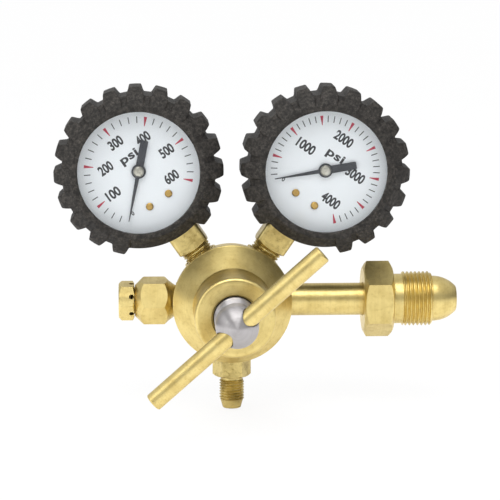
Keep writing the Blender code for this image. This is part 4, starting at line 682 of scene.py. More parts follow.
def box(axis, low, high):
    """A block between two corners given as (across, up, along): a four-column grid with its ends
    closed to poles."""
    xs = np.array((low[0], high[0], high[0], low[0]))
    ys = np.array((low[1], low[1], high[1], high[1]))
    middle = ((low[0] + high[0]) / 2, (low[1] + high[1]) / 2)
    rows = [axis.place(np.full(4, middle[0]), np.full(4, middle[1]), np.full(4, low[2]))]
    rows += [axis.place(xs, ys, np.full(4, h)) for h in (low[2], high[2])]
    rows += [axis.place(np.full(4, middle[0]), np.full(4, middle[1]), np.full(4, high[2]))]
    return surface(np.array(rows), np.linspace(0, 1, 4), np.linspace(0, 1, 4))


class Finish:
    """A material under construction: each call adds a shader node and sets or links its sockets."""

    def __init__(self, name):
        self.material = bpy.data.materials.new(name)
        self.material.use_nodes = True
        self.tree = self.material.node_tree
        self.tree.nodes.clear()

    def add(self, kind, sockets=None, **settings):
        """A node of a kind, with its settings and with values or links for its sockets."""
        node = self.tree.nodes.new("ShaderNode" + kind)
        for name, value in settings.items():
            setattr(node, name, value)
        for name, value in (sockets or {}).items():
            self.put(value, node.inputs[name])
        return node

    def put(self, value, socket):
        """A link, a colour or a number into a socket."""
        if isinstance(value, bpy.types.NodeSocket):
            self.tree.links.new(value, socket)
        elif socket.type == "RGBA":
            socket.default_value = (value[0], value[1], value[2], 1)
        else:
            socket.default_value = value

    def place(self, across=(1, 1, 1)):
        """Object coordinates in millimetres, each times its number in across."""
        scale = [METRE * a for a in across]
        start = self.add("TexCoord").outputs["Object"]
        return self.add("Mapping", {"Vector": start, "Scale": scale}).outputs["Vector"]

    def lie(self, around, along):
        """The piece's own UV map in millimetres, times around and along."""
        start = self.add("UVMap", uv_map="Surface").outputs["UV"]
        scale = (METRE * around, METRE * along, 1)
        return self.add("Mapping", {"Vector": start, "Scale": scale}).outputs["Vector"]

    def noise(self, where, scale, detail=2.0, rough=0.5):
        """Cloudy noise from 0 to 1; scale is its count of features per millimetre."""
        sockets = {"Vector": where, "Scale": scale, "Detail": detail, "Roughness": rough}
        return self.add("TexNoise", sockets).outputs[0]

    def spread(self, value, low, high, start=0.0, end=1.0):
        """A value carried from one range to another, and held at its ends."""
        sockets = {"Value": value, "From Min": low, "From Max": high, "To Min": start,
                   "To Max": end}
        return self.add("MapRange", sockets).outputs[0]

    def maths(self, operation, first, second):
        """One sum of two values."""
        node = self.add("Math", operation=operation)
        self.put(first, node.inputs[0])
        self.put(second, node.inputs[1])
        return node.outputs[0]

    def mix(self, share, first, second):
        """The first colour at a share of 0 and the second at 1."""
        node = self.add("Mix", data_type="RGBA")
        for place, value in ((0, share), (6, first), (7, second)):
            self.put(value, node.inputs[place])
        return node.outputs[2]

    def bump(self, height, depth, below=None):
        """A normal from a height; depth is in millimetres."""
        node = self.add("Bump", {"Height": height, "Distance": depth / METRE, "Strength": 1.0})
        if below is not None:
            self.put(below, node.inputs["Normal"])
        return node.outputs[0]

    def principled(self, **sockets):
        """The main shader; an underscore in a name stands for a space."""
        named = {name.replace("_", " "): value for name, value in sockets.items()}
        return self.add("BsdfPrincipled", named).outputs[0]

    def close(self, shader):
        """The finished material, once its shader is on the output."""
        self.put(shader, self.add("OutputMaterial").inputs["Surface"])
        return self.material


def metal(name, light, deep, roughness, marks="round", anisotropy=0.0, wear=1.0):
    """Machined metal: cloudy tint and stains from Object coordinates, tool marks that run round the
    piece on its own UV map (or across Object coordinates), and roughness and bumps from both."""
    f = Finish(name)
    where = f.place()
    cloud = f.noise(where, 0.13, 4, 0.6)
    stain = f.noise(where, 0.55, 5, 0.65)
    grain = f.noise(where, 6.0, 3)
    way = f.lie(0.015, 1.5) if marks == "round" else f.place((0.3, 3.0, 3.0))
    lines = f.noise(way, 1.0, 4, 0.7)
    share = f.maths("ADD", f.spread(cloud, 0.42, 0.66, 0, 0.45 * wear),
                    f.spread(stain, 0.52, 0.74, 0, 0.45 * wear))
    colour = f.mix(share, light, deep)
    colour = f.mix(f.spread(lines, 0.35, 0.75, 0, 0.14), colour, [0.5 * c for c in deep])
    rough = f.maths("ADD", f.spread(lines, 0.3, 0.7, -0.05, 0.06),
                    f.spread(stain, 0.35, 0.7, 0, 0.09))
    rough = f.maths("ADD", rough, roughness)
    normal = f.bump(lines, 0.010 * wear, f.bump(grain, 0.004 * wear, f.bump(cloud, 0.05 * wear)))
    sockets = {"Base_Color": colour, "Metallic": 1.0, "Roughness": rough, "Normal": normal}
    if anisotropy:
        tangent = f.add("Tangent", direction_type="UV_MAP", uv_map="Surface").outputs[0]
        sockets.update(Anisotropic=anisotropy, Anisotropic_Rotation=0.25, Tangent=tangent)
    return f.close(f.principled(**sockets))


def paint(name, colour, roughness, mottle=0.12, bump=0.004, coat=0.0, grain=1.2):
    """Paint, ink or plastic: a slightly uneven colour, orange peel bumps and a changing gloss."""
    f = Finish(name)
    where = f.place()
    cloud = f.noise(where, 0.22, 3)
    peel = f.noise(where, grain, 4, 0.55)
    tint = f.mix(f.spread(cloud, 0.35, 0.7, 0, mottle), colour, [0.55 * c for c in colour])
    rough = f.spread(peel, 0.3, 0.7, roughness - 0.05, roughness + 0.07)
    sockets = {"Base_Color": tint, "Roughness": rough, "Normal": f.bump(peel, bump),
               "Coat_Weight": coat, "Coat_Roughness": 0.12, "Specular_IOR_Level": 0.5}
    return f.close(f.principled(**sockets))


def rubber(name, colour):
    """Moulded rubber: fine pimples, flow marks, a dusty bloom in patches, and dull gloss."""
    f = Finish(name)
    where = f.place()
    grain = f.noise(where, 2.6, 6, 0.7)
    flow = f.noise(where, 0.28, 4, 0.6)
    cells = f.add("TexVoronoi", {"Vector": where, "Scale": 1.9, "Randomness": 1.0})
    pits = cells.outputs["Distance"]
    smear = f.noise(where, 0.75, 4, 0.65)
    bloom = f.maths("MULTIPLY", f.spread(grain, 0.38, 0.66, 0.1, 1.0),
                    f.spread(smear, 0.40, 0.66, 0.10, 1.0))
    bloom = f.maths("MULTIPLY", bloom, f.spread(flow, 0.35, 0.65, 0.45, 1.0))
    dusty = [1.5 * c + more for c, more in zip(colour, (0.074, 0.066, 0.057))]
    tint = f.mix(bloom, [0.35 * c for c in colour], dusty)
    normal = f.bump(f.spread(pits, 0.0, 0.45), 0.06, f.bump(grain, 0.15, f.bump(smear, 0.10)))
    rough = f.spread(grain, 0.3, 0.7, 0.50, 0.72)
    sockets = {"Base_Color": tint, "Roughness": rough, "Normal": normal, "Specular_IOR_Level": 0.28}
    return f.close(f.principled(**sockets))


def lens(name):
    """Clear plastic that shows what is behind it: mostly a clear pane, and glossy by its Fresnel
    share, with faint wipe marks in the gloss."""
    f = Finish(name)
    wipe = f.noise(f.place((0.4, 1.0, 2.0)), 0.5, 3)
    rough = f.spread(wipe, 0.3, 0.7, 0.03, 0.09)
    gloss = f.add("BsdfGlossy", {"Color": (1, 1, 1), "Roughness": rough})
    clear = f.add("BsdfTransparent", {"Color": (0.985, 0.99, 0.992)})
    share = f.maths("MULTIPLY", f.add("Fresnel", {"IOR": 1.40}).outputs[0], 0.55)
    both = f.add("MixShader", {"Fac": share})
    f.put(clear.outputs[0], both.inputs[1])
    f.put(gloss.outputs[0], both.inputs[2])
    return f.close(both.outputs[0])


def finishes():
    """Every finish by its slot, made once."""
    if "Brass" in bpy.data.materials:
        return {key: bpy.data.materials[name] for key, name in FINISH_NAMES.items()}
    c = colours()
    light, deep, steel = list(c.brass), list(c.brass_deep), list(c.steel)
    metal("Brass", light, deep, c.brass_roughness)
    metal("Brass forged", light, deep, c.brass_roughness + 0.03, marks="across")
    metal("Brass stained", [0.9 * c for c in light], [0.62 * c for c in deep], c.brass_roughness,
          wear=1.7)
    metal("Brass screw", (0.66, 0.42, 0.10), (0.42, 0.24, 0.05), 0.30)
    metal("Nickel cap", (0.66, 0.64, 0.56), (0.40, 0.38, 0.30), 0.36, wear=1.4)
    metal("Steel turned", steel, [0.75 * s for s in steel], 0.34, anisotropy=0.93, wear=0.3)
    metal("Spring steel", (0.30, 0.30, 0.31), (0.16, 0.15, 0.15), 0.38, marks="across")
    metal("Thin steel", (0.62, 0.62, 0.62), (0.45, 0.45, 0.46), 0.24, marks="across")
    metal("Copper", (0.72, 0.36, 0.23), (0.45, 0.20, 0.12), 0.42, marks="across")
    metal("Bronze", (0.50, 0.33, 0.15), (0.34, 0.20, 0.09), 0.5, marks="across")
    paint("Polymer", (0.80, 0.78, 0.70), 0.45)
    paint("Black enamel", (0.022, 0.023, 0.026), 0.24, coat=0.4)
    paint("Pointer black", (0.020, 0.024, 0.032), 0.34, mottle=0.3)
    paint("Dial white", list(c.dial), 0.34, mottle=0.03, bump=0.002, coat=0.25)
    paint("Ink black", list(c.black), 0.5, mottle=0.2, bump=0.001, grain=3.0)
    paint("Ink red", list(c.red), 0.5, mottle=0.15, bump=0.001, grain=3.0)
    rubber("Rubber", list(c.rubber))
    lens("Lens clear")
    return {key: bpy.data.materials[name] for key, name in FINISH_NAMES.items()}


# Coil springs: the joint that shortens each, its axis, its fixed end and how far it shortens, mm
COILS = {
    "range_spring": ("button_slide", 1, -17.0, 5.556),
    "valve_spring": ("valve_slide", 1, 11.8, 0.8),
    "relief_spring": ("relief_slide", 0, -149.9, 1.5),
}

FINISH_NAMES = {
    "brass": "Brass", "forged": "Brass forged", "stained": "Brass stained",
    "screw_brass": "Brass screw", "nickel": "Nickel cap", "steel": "Steel turned",
    "spring_steel": "Spring steel", "thin_steel": "Thin steel", "copper": "Copper",
    "bronze": "Bronze", "polymer": "Polymer", "rubber": "Rubber", "black_paint": "Black enamel",
    "pointer": "Pointer black", "white_paint": "Dial white", "black_ink": "Ink black",
    "red_ink": "Ink red", "clear": "Lens clear",
}


def rows(*points):
    """An outline from its (radius, height) points."""
    return np.array(points, float)


def flatted(axis, outline, sides, across, turn, corner=0.15, shape=None, ring=False, between=14):
    """A turned outline with flats milled on it, and a row of points along each chamfer's edge."""
    turn = math.radians(turn)
    angles = flats_angles(sides, across, corner, turn, between)
    reach = flats_radius(angles, sides, across, corner, turn)
    return turned(axis, clip_to(outline, reach), angles, shape, ring)


def hexagon(across, more, share=0.95, chamfer=30):
    """A hex bar's corner radius, which is the flats' half distance over the cosine of 30 degrees
    and a little more, the radius where its chamfer starts, and the chamfer's height."""
    corner = across / 2 / math.cos(math.pi / 6) + more
    face = across / 2 * share
    return corner, face, (corner - face) * math.tan(math.radians(chamfer))


def build_body():
    """The forging: a turned cup, open to the front and to the rear chamber, with five bosses
    joined to it and a bore cut through each."""
    edge = sizes().edge
    outline = rows((0, CHAMBER_FLOOR), (CHAMBER_RADIUS, CHAMBER_FLOOR),
                   (CHAMBER_RADIUS, BODY_REAR), (BODY_RADIUS - BODY_EDGE, BODY_REAR),
                   (BODY_RADIUS, BODY_REAR + BODY_EDGE), (BODY_RADIUS, SHOULDER),
                   (SPIGOT_RADIUS, SHOULDER), (SPIGOT_RADIUS, SPIGOT_FRONT),
                   (BOWL_RADIUS, SPIGOT_FRONT), (BOWL_RADIUS, BOWL_FLOOR), (0, BOWL_FLOOR))
    amounts = [0, edge, edge, 0.8, 0.8, edge, edge, edge, edge, edge, 0]
    wall = turned(TO_FRONT, soften(outline, amounts))
    bosses, bores = [], []
    boss = soften(rows((0, BOSS_START), (PORT_RADIUS, BOSS_START), (PORT_RADIUS, PORT_FACE),
                       (0, PORT_FACE)), [0, 0, 0.35, 0])
    gauges = [Axis(CENTRE, *lean_of(side)) for side in SIDES]
    for axis in (TO_INLET, TO_OUTLET, TO_RELIEF, *gauges):
        bosses.append(turned(axis, boss, circle(72)))
        bores.append(rod(axis, 0, 0, *PORT_BORE_SPAN, PORT_BORE, 48))
    make("body_forging", [wall], "brass", "body", adders=bosses, cutters=bores)


def build_bonnet():
    """The bonnet: a closed turned section of flange, cone, nose, mouth and the bores inside, with
    the vent's hole cut through its underside."""
    edge = sizes().edge
    outline = rows((SKIRT_RADIUS, BONNET_BACK), (FLANGE_RADIUS, BONNET_BACK),
                   (FLANGE_RADIUS, FLANGE_FRONT), CONE_FOOT, CONE_TOP, (NOSE_RADIUS, NOSE_FOOT),
                   (NOSE_RADIUS, NOSE_FRONT), (MOUTH_RADIUS, NOSE_FRONT), (MOUTH_RADIUS, MOUTH_FLOOR),
                   (THREAD_BORE, MOUTH_FLOOR), (THREAD_BORE, SPRING_BORE_SPAN[1]),
                   (SPRING_BORE, SPRING_BORE_SPAN[1]), (SPRING_BORE, SPRING_BORE_SPAN[0]),
                   (SKIRT_RADIUS, SKIRT_END))
    amounts = [edge, edge, edge, edge, 0.5, 0.5, NOSE_EDGE, 0.4, 0.2, 0.2, 0.2, 0.2, 0.2, 0.2]
    shell = turned(TO_FRONT, soften(outline, amounts, closed=True, steps=6), ring=True)
    vent = rod(TO_OUTLET, 0, VENT_HEIGHT, *VENT_SPAN, VENT_RADIUS, 24)
    make("bonnet_cover", [shell], "brass", "bonnet", cutters=[vent])


def build_screw():
    """The adjusting screw: a turned barrel with a quarter ellipse for its domed end, a thread cut
    up to THREAD_TOP, and the bar's hole cut across."""
    pitch = sizes().screw_pitch
    dome = [(SCREW_RADIUS * math.cos(t), SCREW_APEX - DOME_HEIGHT * (1 - math.sin(t)))
            for t in np.linspace(0, math.pi / 2, 25)]
    outline = rows((0, SCREW_FOOT), (SCREW_NOSE[0], SCREW_FOOT), SCREW_NOSE,
                   (SCREW_RADIUS - SCREW_EDGE, SCREW_NOSE[1]),
                   (SCREW_RADIUS, SCREW_NOSE[1] + SCREW_EDGE), *dome)
    outline[-1, 0] = 0
    outline = densify(outline, [(SCREW_NOSE[1], THREAD_TOP + 1)], pitch / 8)

    def threaded(radius, height, angles):
        """The thread, above the screw's nose only."""
        cut = cut_thread(radius, height, angles, SCREW_RADIUS, pitch, 0.55 * pitch, THREAD_FOOT,
                         THREAD_TOP)
        return np.where(height > SCREW_NOSE[1] + 0.3, cut, radius)

    screw = turned(TO_FRONT, outline, shape=threaded)
    hole = rod(BAR_AXIS, 0, 0, -CUT_REACH, CUT_REACH, BAR_RADIUS + FIT, 48)
    make("adjusting_screw_turned", [screw], "steel", "adjusting_screw", "handle",
         cutters=[hole])


def build_bar():
    """The T bar: a turned rod with both ends chamfered."""
    half = BAR_LENGTH / 2
    end = BAR_RADIUS - BAR_EDGE
    outline = soften(rows((0, -half), (end, -half), (BAR_RADIUS, -half + BAR_EDGE),
                          (BAR_RADIUS, half - BAR_EDGE), (end, half), (0, half)), 0.25)
    make("tee_bar_turned", [turned(BAR_AXIS, outline, circle(96))], "brass", "tee_bar",
         body="handle")


def build_rear():
    """The rear plug: a spigot and a chamfered hex. Its gasket: a turned ring."""
    corner, face, slope = hexagon(PLUG_FLATS, 0.05)
    outline = rows((0, PLUG_SPIGOT_END), (PLUG_SPIGOT, PLUG_SPIGOT_END),
                   (PLUG_SPIGOT, PLUG_FRONT), (corner, PLUG_FRONT),
                   (corner, PLUG_REAR + slope), (face, PLUG_REAR), (0, PLUG_REAR))
    make("rear_plug_milled", [flatted(TO_FRONT, outline, 6, PLUG_FLATS, 30)], "brass", "rear_plug")
    ring = soften(rows((GASKET_BORE, GASKET_FRONT), (GASKET_RADIUS, GASKET_FRONT),
                       (GASKET_RADIUS, GASKET_REAR), (GASKET_BORE, GASKET_REAR)), 0.2, closed=True)
    make("plug_gasket_soft", [turned(TO_FRONT, ring, ring=True)], "copper", "plug_gasket")


def build_nipple():
    """The inlet nipple: a closed turned section of thread, tube, collar and bore, whose nose is an
    arc from the collar to the tip. Its filter: a turned plug."""
    drop = COLLAR_RADIUS - TIP_RADIUS
    length = INLET_REACH - NOSE_START
    size = (length ** 2 + drop ** 2) / (2 * drop)
    nose = [(COLLAR_RADIUS - size * (1 - math.cos(t)), NOSE_START + size * math.sin(t))
            for t in np.linspace(0.02, math.asin(length / size), 18)]
    seat = INLET_REACH - FILTER_RECESS - FILTER_LENGTH - FIT
    outline = rows((NIPPLE_BORE, PIPE_END), *SHANK, (TUBE_RADIUS, PORT_SHOULDER),
                   (TUBE_RADIUS, COLLAR_START), (COLLAR_RADIUS, COLLAR_START),
                   (COLLAR_RADIUS, NOSE_START - 0.4), *nose, (FILTER_BORE, INLET_REACH),
                   (FILTER_BORE, seat), (NIPPLE_BORE, seat))
    amount = np.full(len(outline), 0.3)
    amount[8:-4] = 0
    outline = densify(soften(outline, amount, closed=True), [(26, 60)], 3.0, closed=True)
    make("inlet_nipple_turned", [turned(TO_INLET, outline, ring=True)], "brass", "inlet_nipple")
    front = INLET_REACH - FILTER_RECESS
    plug = soften(rows((0, front), (FILTER_RADIUS, front), (FILTER_RADIUS, front - FILTER_LENGTH),
                       (0, front - FILTER_LENGTH)), 0.25)
    make("inlet_filter_sintered", [turned(TO_INLET, plug, circle(48))], "bronze", "inlet_filter")


def build_nut():
    """The inlet nut: a chamfered hex, a neck and a thread, in one closed section round the bore."""
    pitch = sizes().nut_pitch
    corner, face, slope = hexagon(NUT_FLATS, 0.05)
    edge = NUT_EDGE
    outline = rows((NUT_BORE, NUT_START), (face, NUT_START), (corner, NUT_START + slope),
                   (corner, NUT_HEX_END - slope), (face, NUT_HEX_END),
                   (NUT_NECK_RADIUS, NUT_HEX_END), (NUT_NECK_RADIUS, NUT_NECK_END),
                   (NUT_THREAD_RADIUS, NUT_NECK_END),
                   (NUT_THREAD_RADIUS, NUT_END - edge), (NUT_THREAD_RADIUS - edge, NUT_END),
                   (NUT_COUNTERBORE, NUT_END), (NUT_COUNTERBORE, NUT_SEAT), (NUT_BORE, NUT_SEAT))
    amount = [0.2, 0.3, 0, 0, 0.3, 0.6, 0.4, 0.3, 0.2, 0.2, 0.1, 0.1, 0.1]
    outline = soften(outline, amount, closed=True)
    outline = densify(outline, [(NUT_NECK_END + 0.1, NUT_END - 0.2)], pitch / 10, closed=True)

    def threaded(radius, height, angles):
        """The thread, on the outside beyond the neck only."""
        cut = cut_thread(radius, height, angles, NUT_THREAD_RADIUS, pitch, 0.60 * pitch,
                         NUT_NECK_END - 0.2, NUT_END + 0.5)
        outside = (radius > NUT_NECK_RADIUS - 0.2) & (height > NUT_NECK_END - 0.1)
        return np.where(outside, cut, radius)

    nut = flatted(TO_INLET, outline, 6, NUT_FLATS, 0, shape=threaded, ring=True, between=20)
    make("inlet_nut_machined", [nut], "brass", "inlet_nut", body="nut")


def build_outlet():
    """The outlet: thread inside the port, chamfered hex, neck, flare thread and tapered nose, in
    one closed section round the bore."""
    pitch = sizes().outlet_pitch
    corner, face, slope = hexagon(OUTLET_FLATS, 0.03)
    shoulder = OUTLET_TIP_RADIUS + 0.7 * (OUTLET_THREAD_RADIUS - OUTLET_TIP_RADIUS)
    outline = rows((OUTLET_BORE, PIPE_END), *SHANK, (PIPE_RADIUS, OUTLET_HEX_START),
                   (face, OUTLET_HEX_START), (corner, OUTLET_HEX_START + slope),
                   (corner, OUTLET_HEX_END - slope), (face, OUTLET_HEX_END),
                   (OUTLET_NECK_RADIUS, OUTLET_HEX_END),
                   (OUTLET_NECK_RADIUS, OUTLET_THREAD_START - FIT),
                   (OUTLET_THREAD_RADIUS, OUTLET_THREAD_START + FIT),
                   (OUTLET_THREAD_RADIUS, OUTLET_THREAD_END - FIT),
                   (shoulder, OUTLET_THREAD_END + FIT),
                   (OUTLET_TIP_RADIUS, OUTLET_END), (OUTLET_BORE, OUTLET_END))
    amount = [0.1, 0.1, 0.1, 0.1, 0.1, 0.2, 0, 0, 0.2, 0.4, 0.2, 0.1, 0.1, 0.3, 0.4, 0.3]
    outline = soften(outline, amount, closed=True)
    span = (OUTLET_THREAD_START - 0.2, OUTLET_THREAD_END + 0.2)
    outline = densify(outline, [span], pitch / 9, closed=True)

    def threaded(radius, height, angles):
        """The thread, on the outside between the neck and the nose only."""
        cut = cut_thread(radius, height, angles, OUTLET_THREAD_RADIUS, pitch, 0.58 * pitch,
                         OUTLET_THREAD_START - 0.3, OUTLET_THREAD_END)
        outside = (height > OUTLET_THREAD_START - FIT) & (height < OUTLET_END)
        return np.where(outside & (radius > OUTLET_NECK_RADIUS - 0.4), cut, radius)

    fitting = flatted(TO_OUTLET, outline, 6, OUTLET_FLATS, 30, shape=threaded, ring=True)
    make("outlet_fitting_machined", [fitting], "stained", "outlet_fitting")


def build_relief():
    """The relief valve: a hex body with deep bevels round its chamber, and a hex cap on a shank,
    with a vent drilled through each flat."""
    corner = hexagon(RELIEF_FLATS, 0.03)[0]
    bore, rim, seat = SEAT_BORE, SEAT_RIM, SEAT_HEIGHT
    outline = rows((bore, PIPE_END), *SHANK, (RELIEF_COLLAR_RADIUS, RELIEF_HEX_START),
                   (corner, RELIEF_HEX_START + corner - RELIEF_COLLAR_RADIUS),
                   (corner, RELIEF_HEX_END - (corner - RELIEF_BEVEL_RADIUS)),
                   (RELIEF_BEVEL_RADIUS, RELIEF_HEX_END), (CAP_THREAD, RELIEF_HEX_END),
                   (CAP_THREAD, CAP_THREAD_FOOT), (RELIEF_CHAMBER, CAP_THREAD_FOOT),
                   (RELIEF_CHAMBER, seat - SEAT_LIFT), (rim, seat - SEAT_LIFT), (rim, seat),
                   (bore, seat))
    amount = [0.1, 0.1, 0.1, 0.5, 0.5, 0, 0, 0.25, 0.1, 0.1, 0.1, 0.1, 0.1, 0.1, 0.1]
    outline = soften(outline, amount, closed=True)
    shell = flatted(TO_RELIEF, outline, 6, RELIEF_FLATS, RELIEF_TURN, ring=True)
    make("relief_body_milled", [shell], "brass", "relief_body")
    corner, face, slope = hexagon(CAP_FLATS, 0.03, 0.97, 45)
    outline = rows((0, CAP_END), (face, CAP_END), (corner, CAP_END - slope),
                   (corner, CAP_START + slope / 2), (face, CAP_START),
                   (CAP_SHANK_RADIUS, CAP_START),
                   (CAP_SHANK_RADIUS, CAP_SHANK_START), (CAP_BORE, CAP_SHANK_START),
                   (CAP_BORE, CAP_END - CAP_WALL), (0, CAP_END - CAP_WALL))
    outline = soften(outline, [0, 0.3, 0, 0, 0.15, 0.2, 0.2, 0.2, 0.2, 0])
    vents = []
    for k in range(6):
        angle = math.radians(RELIEF_TURN + 60 * k)
        out = math.cos(angle) * TO_RELIEF.across + math.sin(angle) * TO_RELIEF.up
        at = Axis(np.array(CENTRE) + VENT_REACH * TO_RELIEF.along, out, TO_RELIEF.along)
        vents.append(rod(at, 0, 0, *CAP_VENT_SPAN, CAP_VENT_RADIUS, 28))
    make("relief_cap_milled", [flatted(TO_RELIEF, outline, 6, CAP_FLATS, RELIEF_TURN)], "brass",
         "relief_cap", cutters=vents)


def build_sockets():
    """Each gauge's stem: a square bar with a tapered thread at its foot, cut to a table inside the
    case, and the pillars that carry the dial's screws."""
    pitch = sizes().pipe_pitch
    foot = GAUGE_REACH - PORT_SHOULDER
    for side in SIDES:
        axis = stem_axis(side)
        outline = rows((0, SOCKET_INNER_END), (SOCKET_CORNER, SOCKET_INNER_END),
                       (SOCKET_CORNER, SQUARE_END), (SOCKET_WIDTH / 2 - 1.0, SQUARE_END + 1.5),
                       (PIPE_RADIUS, SQUARE_END + 2.0), (PIPE_RADIUS, foot),
                       (PIPE_TIP_RADIUS, SOCKET_END), (0, SOCKET_END))
        outline = soften(outline, [0, 0, 0, 0.1, 0.1, 0, 0.2, 0])
        outline = densify(outline, [(SQUARE_END + 1.9, SOCKET_END - 0.2)], pitch / 8)

        def threaded(radius, height, angles):
            """The tapered thread, below the square only."""
            taper = (PIPE_RADIUS - PIPE_TIP_RADIUS) / (SOCKET_END - foot)
            crest = PIPE_RADIUS - np.clip(height - foot, 0, None) * taper
            cut = cut_thread(radius, height, angles, crest, pitch, 0.6 * pitch, SQUARE_END + 2.0,
                             SOCKET_END)
            return np.where(height > SQUARE_END + 1.9, cut, radius)

        stem = flatted(axis, outline, 4, SOCKET_WIDTH, 0, shape=threaded, between=18)
        table = box(axis, (-CUT_REACH, -SOCKET_TABLE, SOCKET_INNER_END - 0.5),
                    (CUT_REACH, CUT_REACH, SOCKET_TABLE_END))
        face = dial_axis(side)
        pillars = [rod(face, x, y, SOCKET_TABLE - 0.5, DIAL_BACK - FIT, PILLAR_RADIUS, 24)
                   for x, y in DIAL_SCREW_PLACES]
        make(side + "_socket_machined", [stem], "stained", side + "_socket", cutters=[table])
        make(side + "_socket_pillars", pillars, "brass")


def stem_opening(side, end):
    """The block that makes room for a gauge's stem, from below the gauge up to end."""
    half = SOCKET_WIDTH / 2 + FIT
    return box(dial_axis(side), (-half, -STEM_CUT, -half), (half, end, half))


def build_cases():
    """Each gauge's thin drawn cup, open at the front and over the stem, and its lens with a skirt
    that drops inside the cup: both turned."""
    for side in SIDES:
        axis = dial_axis(side)
        inner = CASE_RADIUS - CASE_WALL
        floor = CASE_BACK + CASE_WALL
        outline = rows((0, floor), (inner, floor), (inner, CASE_FRONT),
                       (CASE_RADIUS, CASE_FRONT), (CASE_RADIUS, floor),
                       (inner, CASE_BACK), (0, CASE_BACK))
        outline = soften(outline, [0, 0.5, 0.2, 0.2, 0.5, 0.5, 0])
        make(side + "_case_drawn", [turned(axis, outline)], "black_paint", side + "_case",
             cutters=[stem_opening(side, -CASE_RADIUS / 2)])
        skirt = inner - FIT
        pane = rows((0, LENS_FRONT), (LENS_RADIUS, LENS_FRONT), (LENS_RADIUS, LENS_BACK),
                    (skirt, LENS_BACK), (skirt, LENS_SKIRT), (skirt - LENS_WALL, LENS_SKIRT),
                    (skirt - LENS_WALL, LENS_BACK), (0, LENS_BACK))
        pane = soften(pane, [0, 0.3, 0.1, 0.1, 0.1, 0.1, 0.1, 0])
        make(side + "_lens_moulded", [turned(axis, pane)], "clear", side + "_lens")


def lettering(words, width, height, middle, bold=0.035, apart=1.0):
    """Flat words as points and faces, fitted to a width and height round their middle, in the
    dial's own plane. Bold comes from an offset outline."""
    curve = bpy.data.curves.new("words", "FONT")
    curve.body = words
    curve.offset = bold
    curve.space_character = apart
    curve.extrude = 0.05
    curve.resolution_u = 5
    thing = new_object("words", curve)
    bpy.context.view_layer.update()
    ready = thing.evaluated_get(bpy.context.evaluated_depsgraph_get())
    flat = bpy.data.meshes.new_from_object(ready)
    points = np.empty(len(flat.vertices) * 3)
    flat.vertices.foreach_get("co", points)
    points = points.reshape(-1, 3)
    low, high = points.min(axis=0), points.max(axis=0)
    points = (points - (low + high) / 2) / (high - low) * (width, height, sizes().print_depth)
    faces = [tuple(face.vertices) for face in flat.polygons]
    bpy.data.objects.remove(thing)
    bpy.data.meshes.remove(flat)
    bpy.data.curves.remove(curve)
    return points + (middle[0], middle[1], 0), faces


def strokes(angles, outer, inner, outer_width, inner_width):
    """Straight marks that point at the dial's centre: eight corners each, at the two reaches and
    half widths, on both sides of the ink's thickness."""
    angles = np.radians(np.asarray(angles, float))[:, None]
    reach = np.array((outer, outer, inner, inner))
    half = np.array((-outer_width, outer_width, inner_width, -inner_width)) / 2
    x = reach * np.sin(angles) + half * np.cos(angles)
    y = reach * np.cos(angles) - half * np.sin(angles)
    half_depth = sizes().print_depth / 2
    low = np.stack((x, y, np.full_like(x, -half_depth)), axis=-1)
    high = np.stack((x, y, np.full_like(x, half_depth)), axis=-1)
    points = np.concatenate((low, high), axis=1).reshape(-1, 3)
    block = np.array(((0, 1, 2, 3), (7, 6, 5, 4), (1, 0, 4, 5), (2, 1, 5, 6), (3, 2, 6, 7),
                      (0, 3, 7, 4)))
    faces = block[None] + 8 * np.arange(len(angles))[:, None, None]
    return points, [tuple(face) for face in faces.reshape(-1, 4).tolist()]


def ink(name, marks, axis, finish):
    """Printed marks as one thin mesh on the dial's face."""
    points, faces = [], []
    for some, ones in marks:
        start = sum(len(p) for p in points)
        points.append(some)
        faces += [tuple(k + start for k in face) for face in ones]
    flat = np.concatenate(points)
    lift = DIAL_FRONT + sizes().print_depth / 2 + INK_LIFT
    spots = axis.place(flat[:, 0], flat[:, 1], flat[:, 2] + lift) / METRE
    mesh = bpy.data.meshes.new(name)
    mesh.from_pydata(spots.tolist(), [], faces)
    mesh.validate()
    piece = new_object(name, mesh)
    clean_up(mesh, outwards=True)
    mesh.materials.append(finishes()[finish])
    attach(piece, "regulator")


def scale_angle(value, full):
    """A value's angle on the dial, in proportion to it and ending at SCALE_END for full scale."""
    return SCALE_END - SCALE_SWEEP * (1 - value / full)


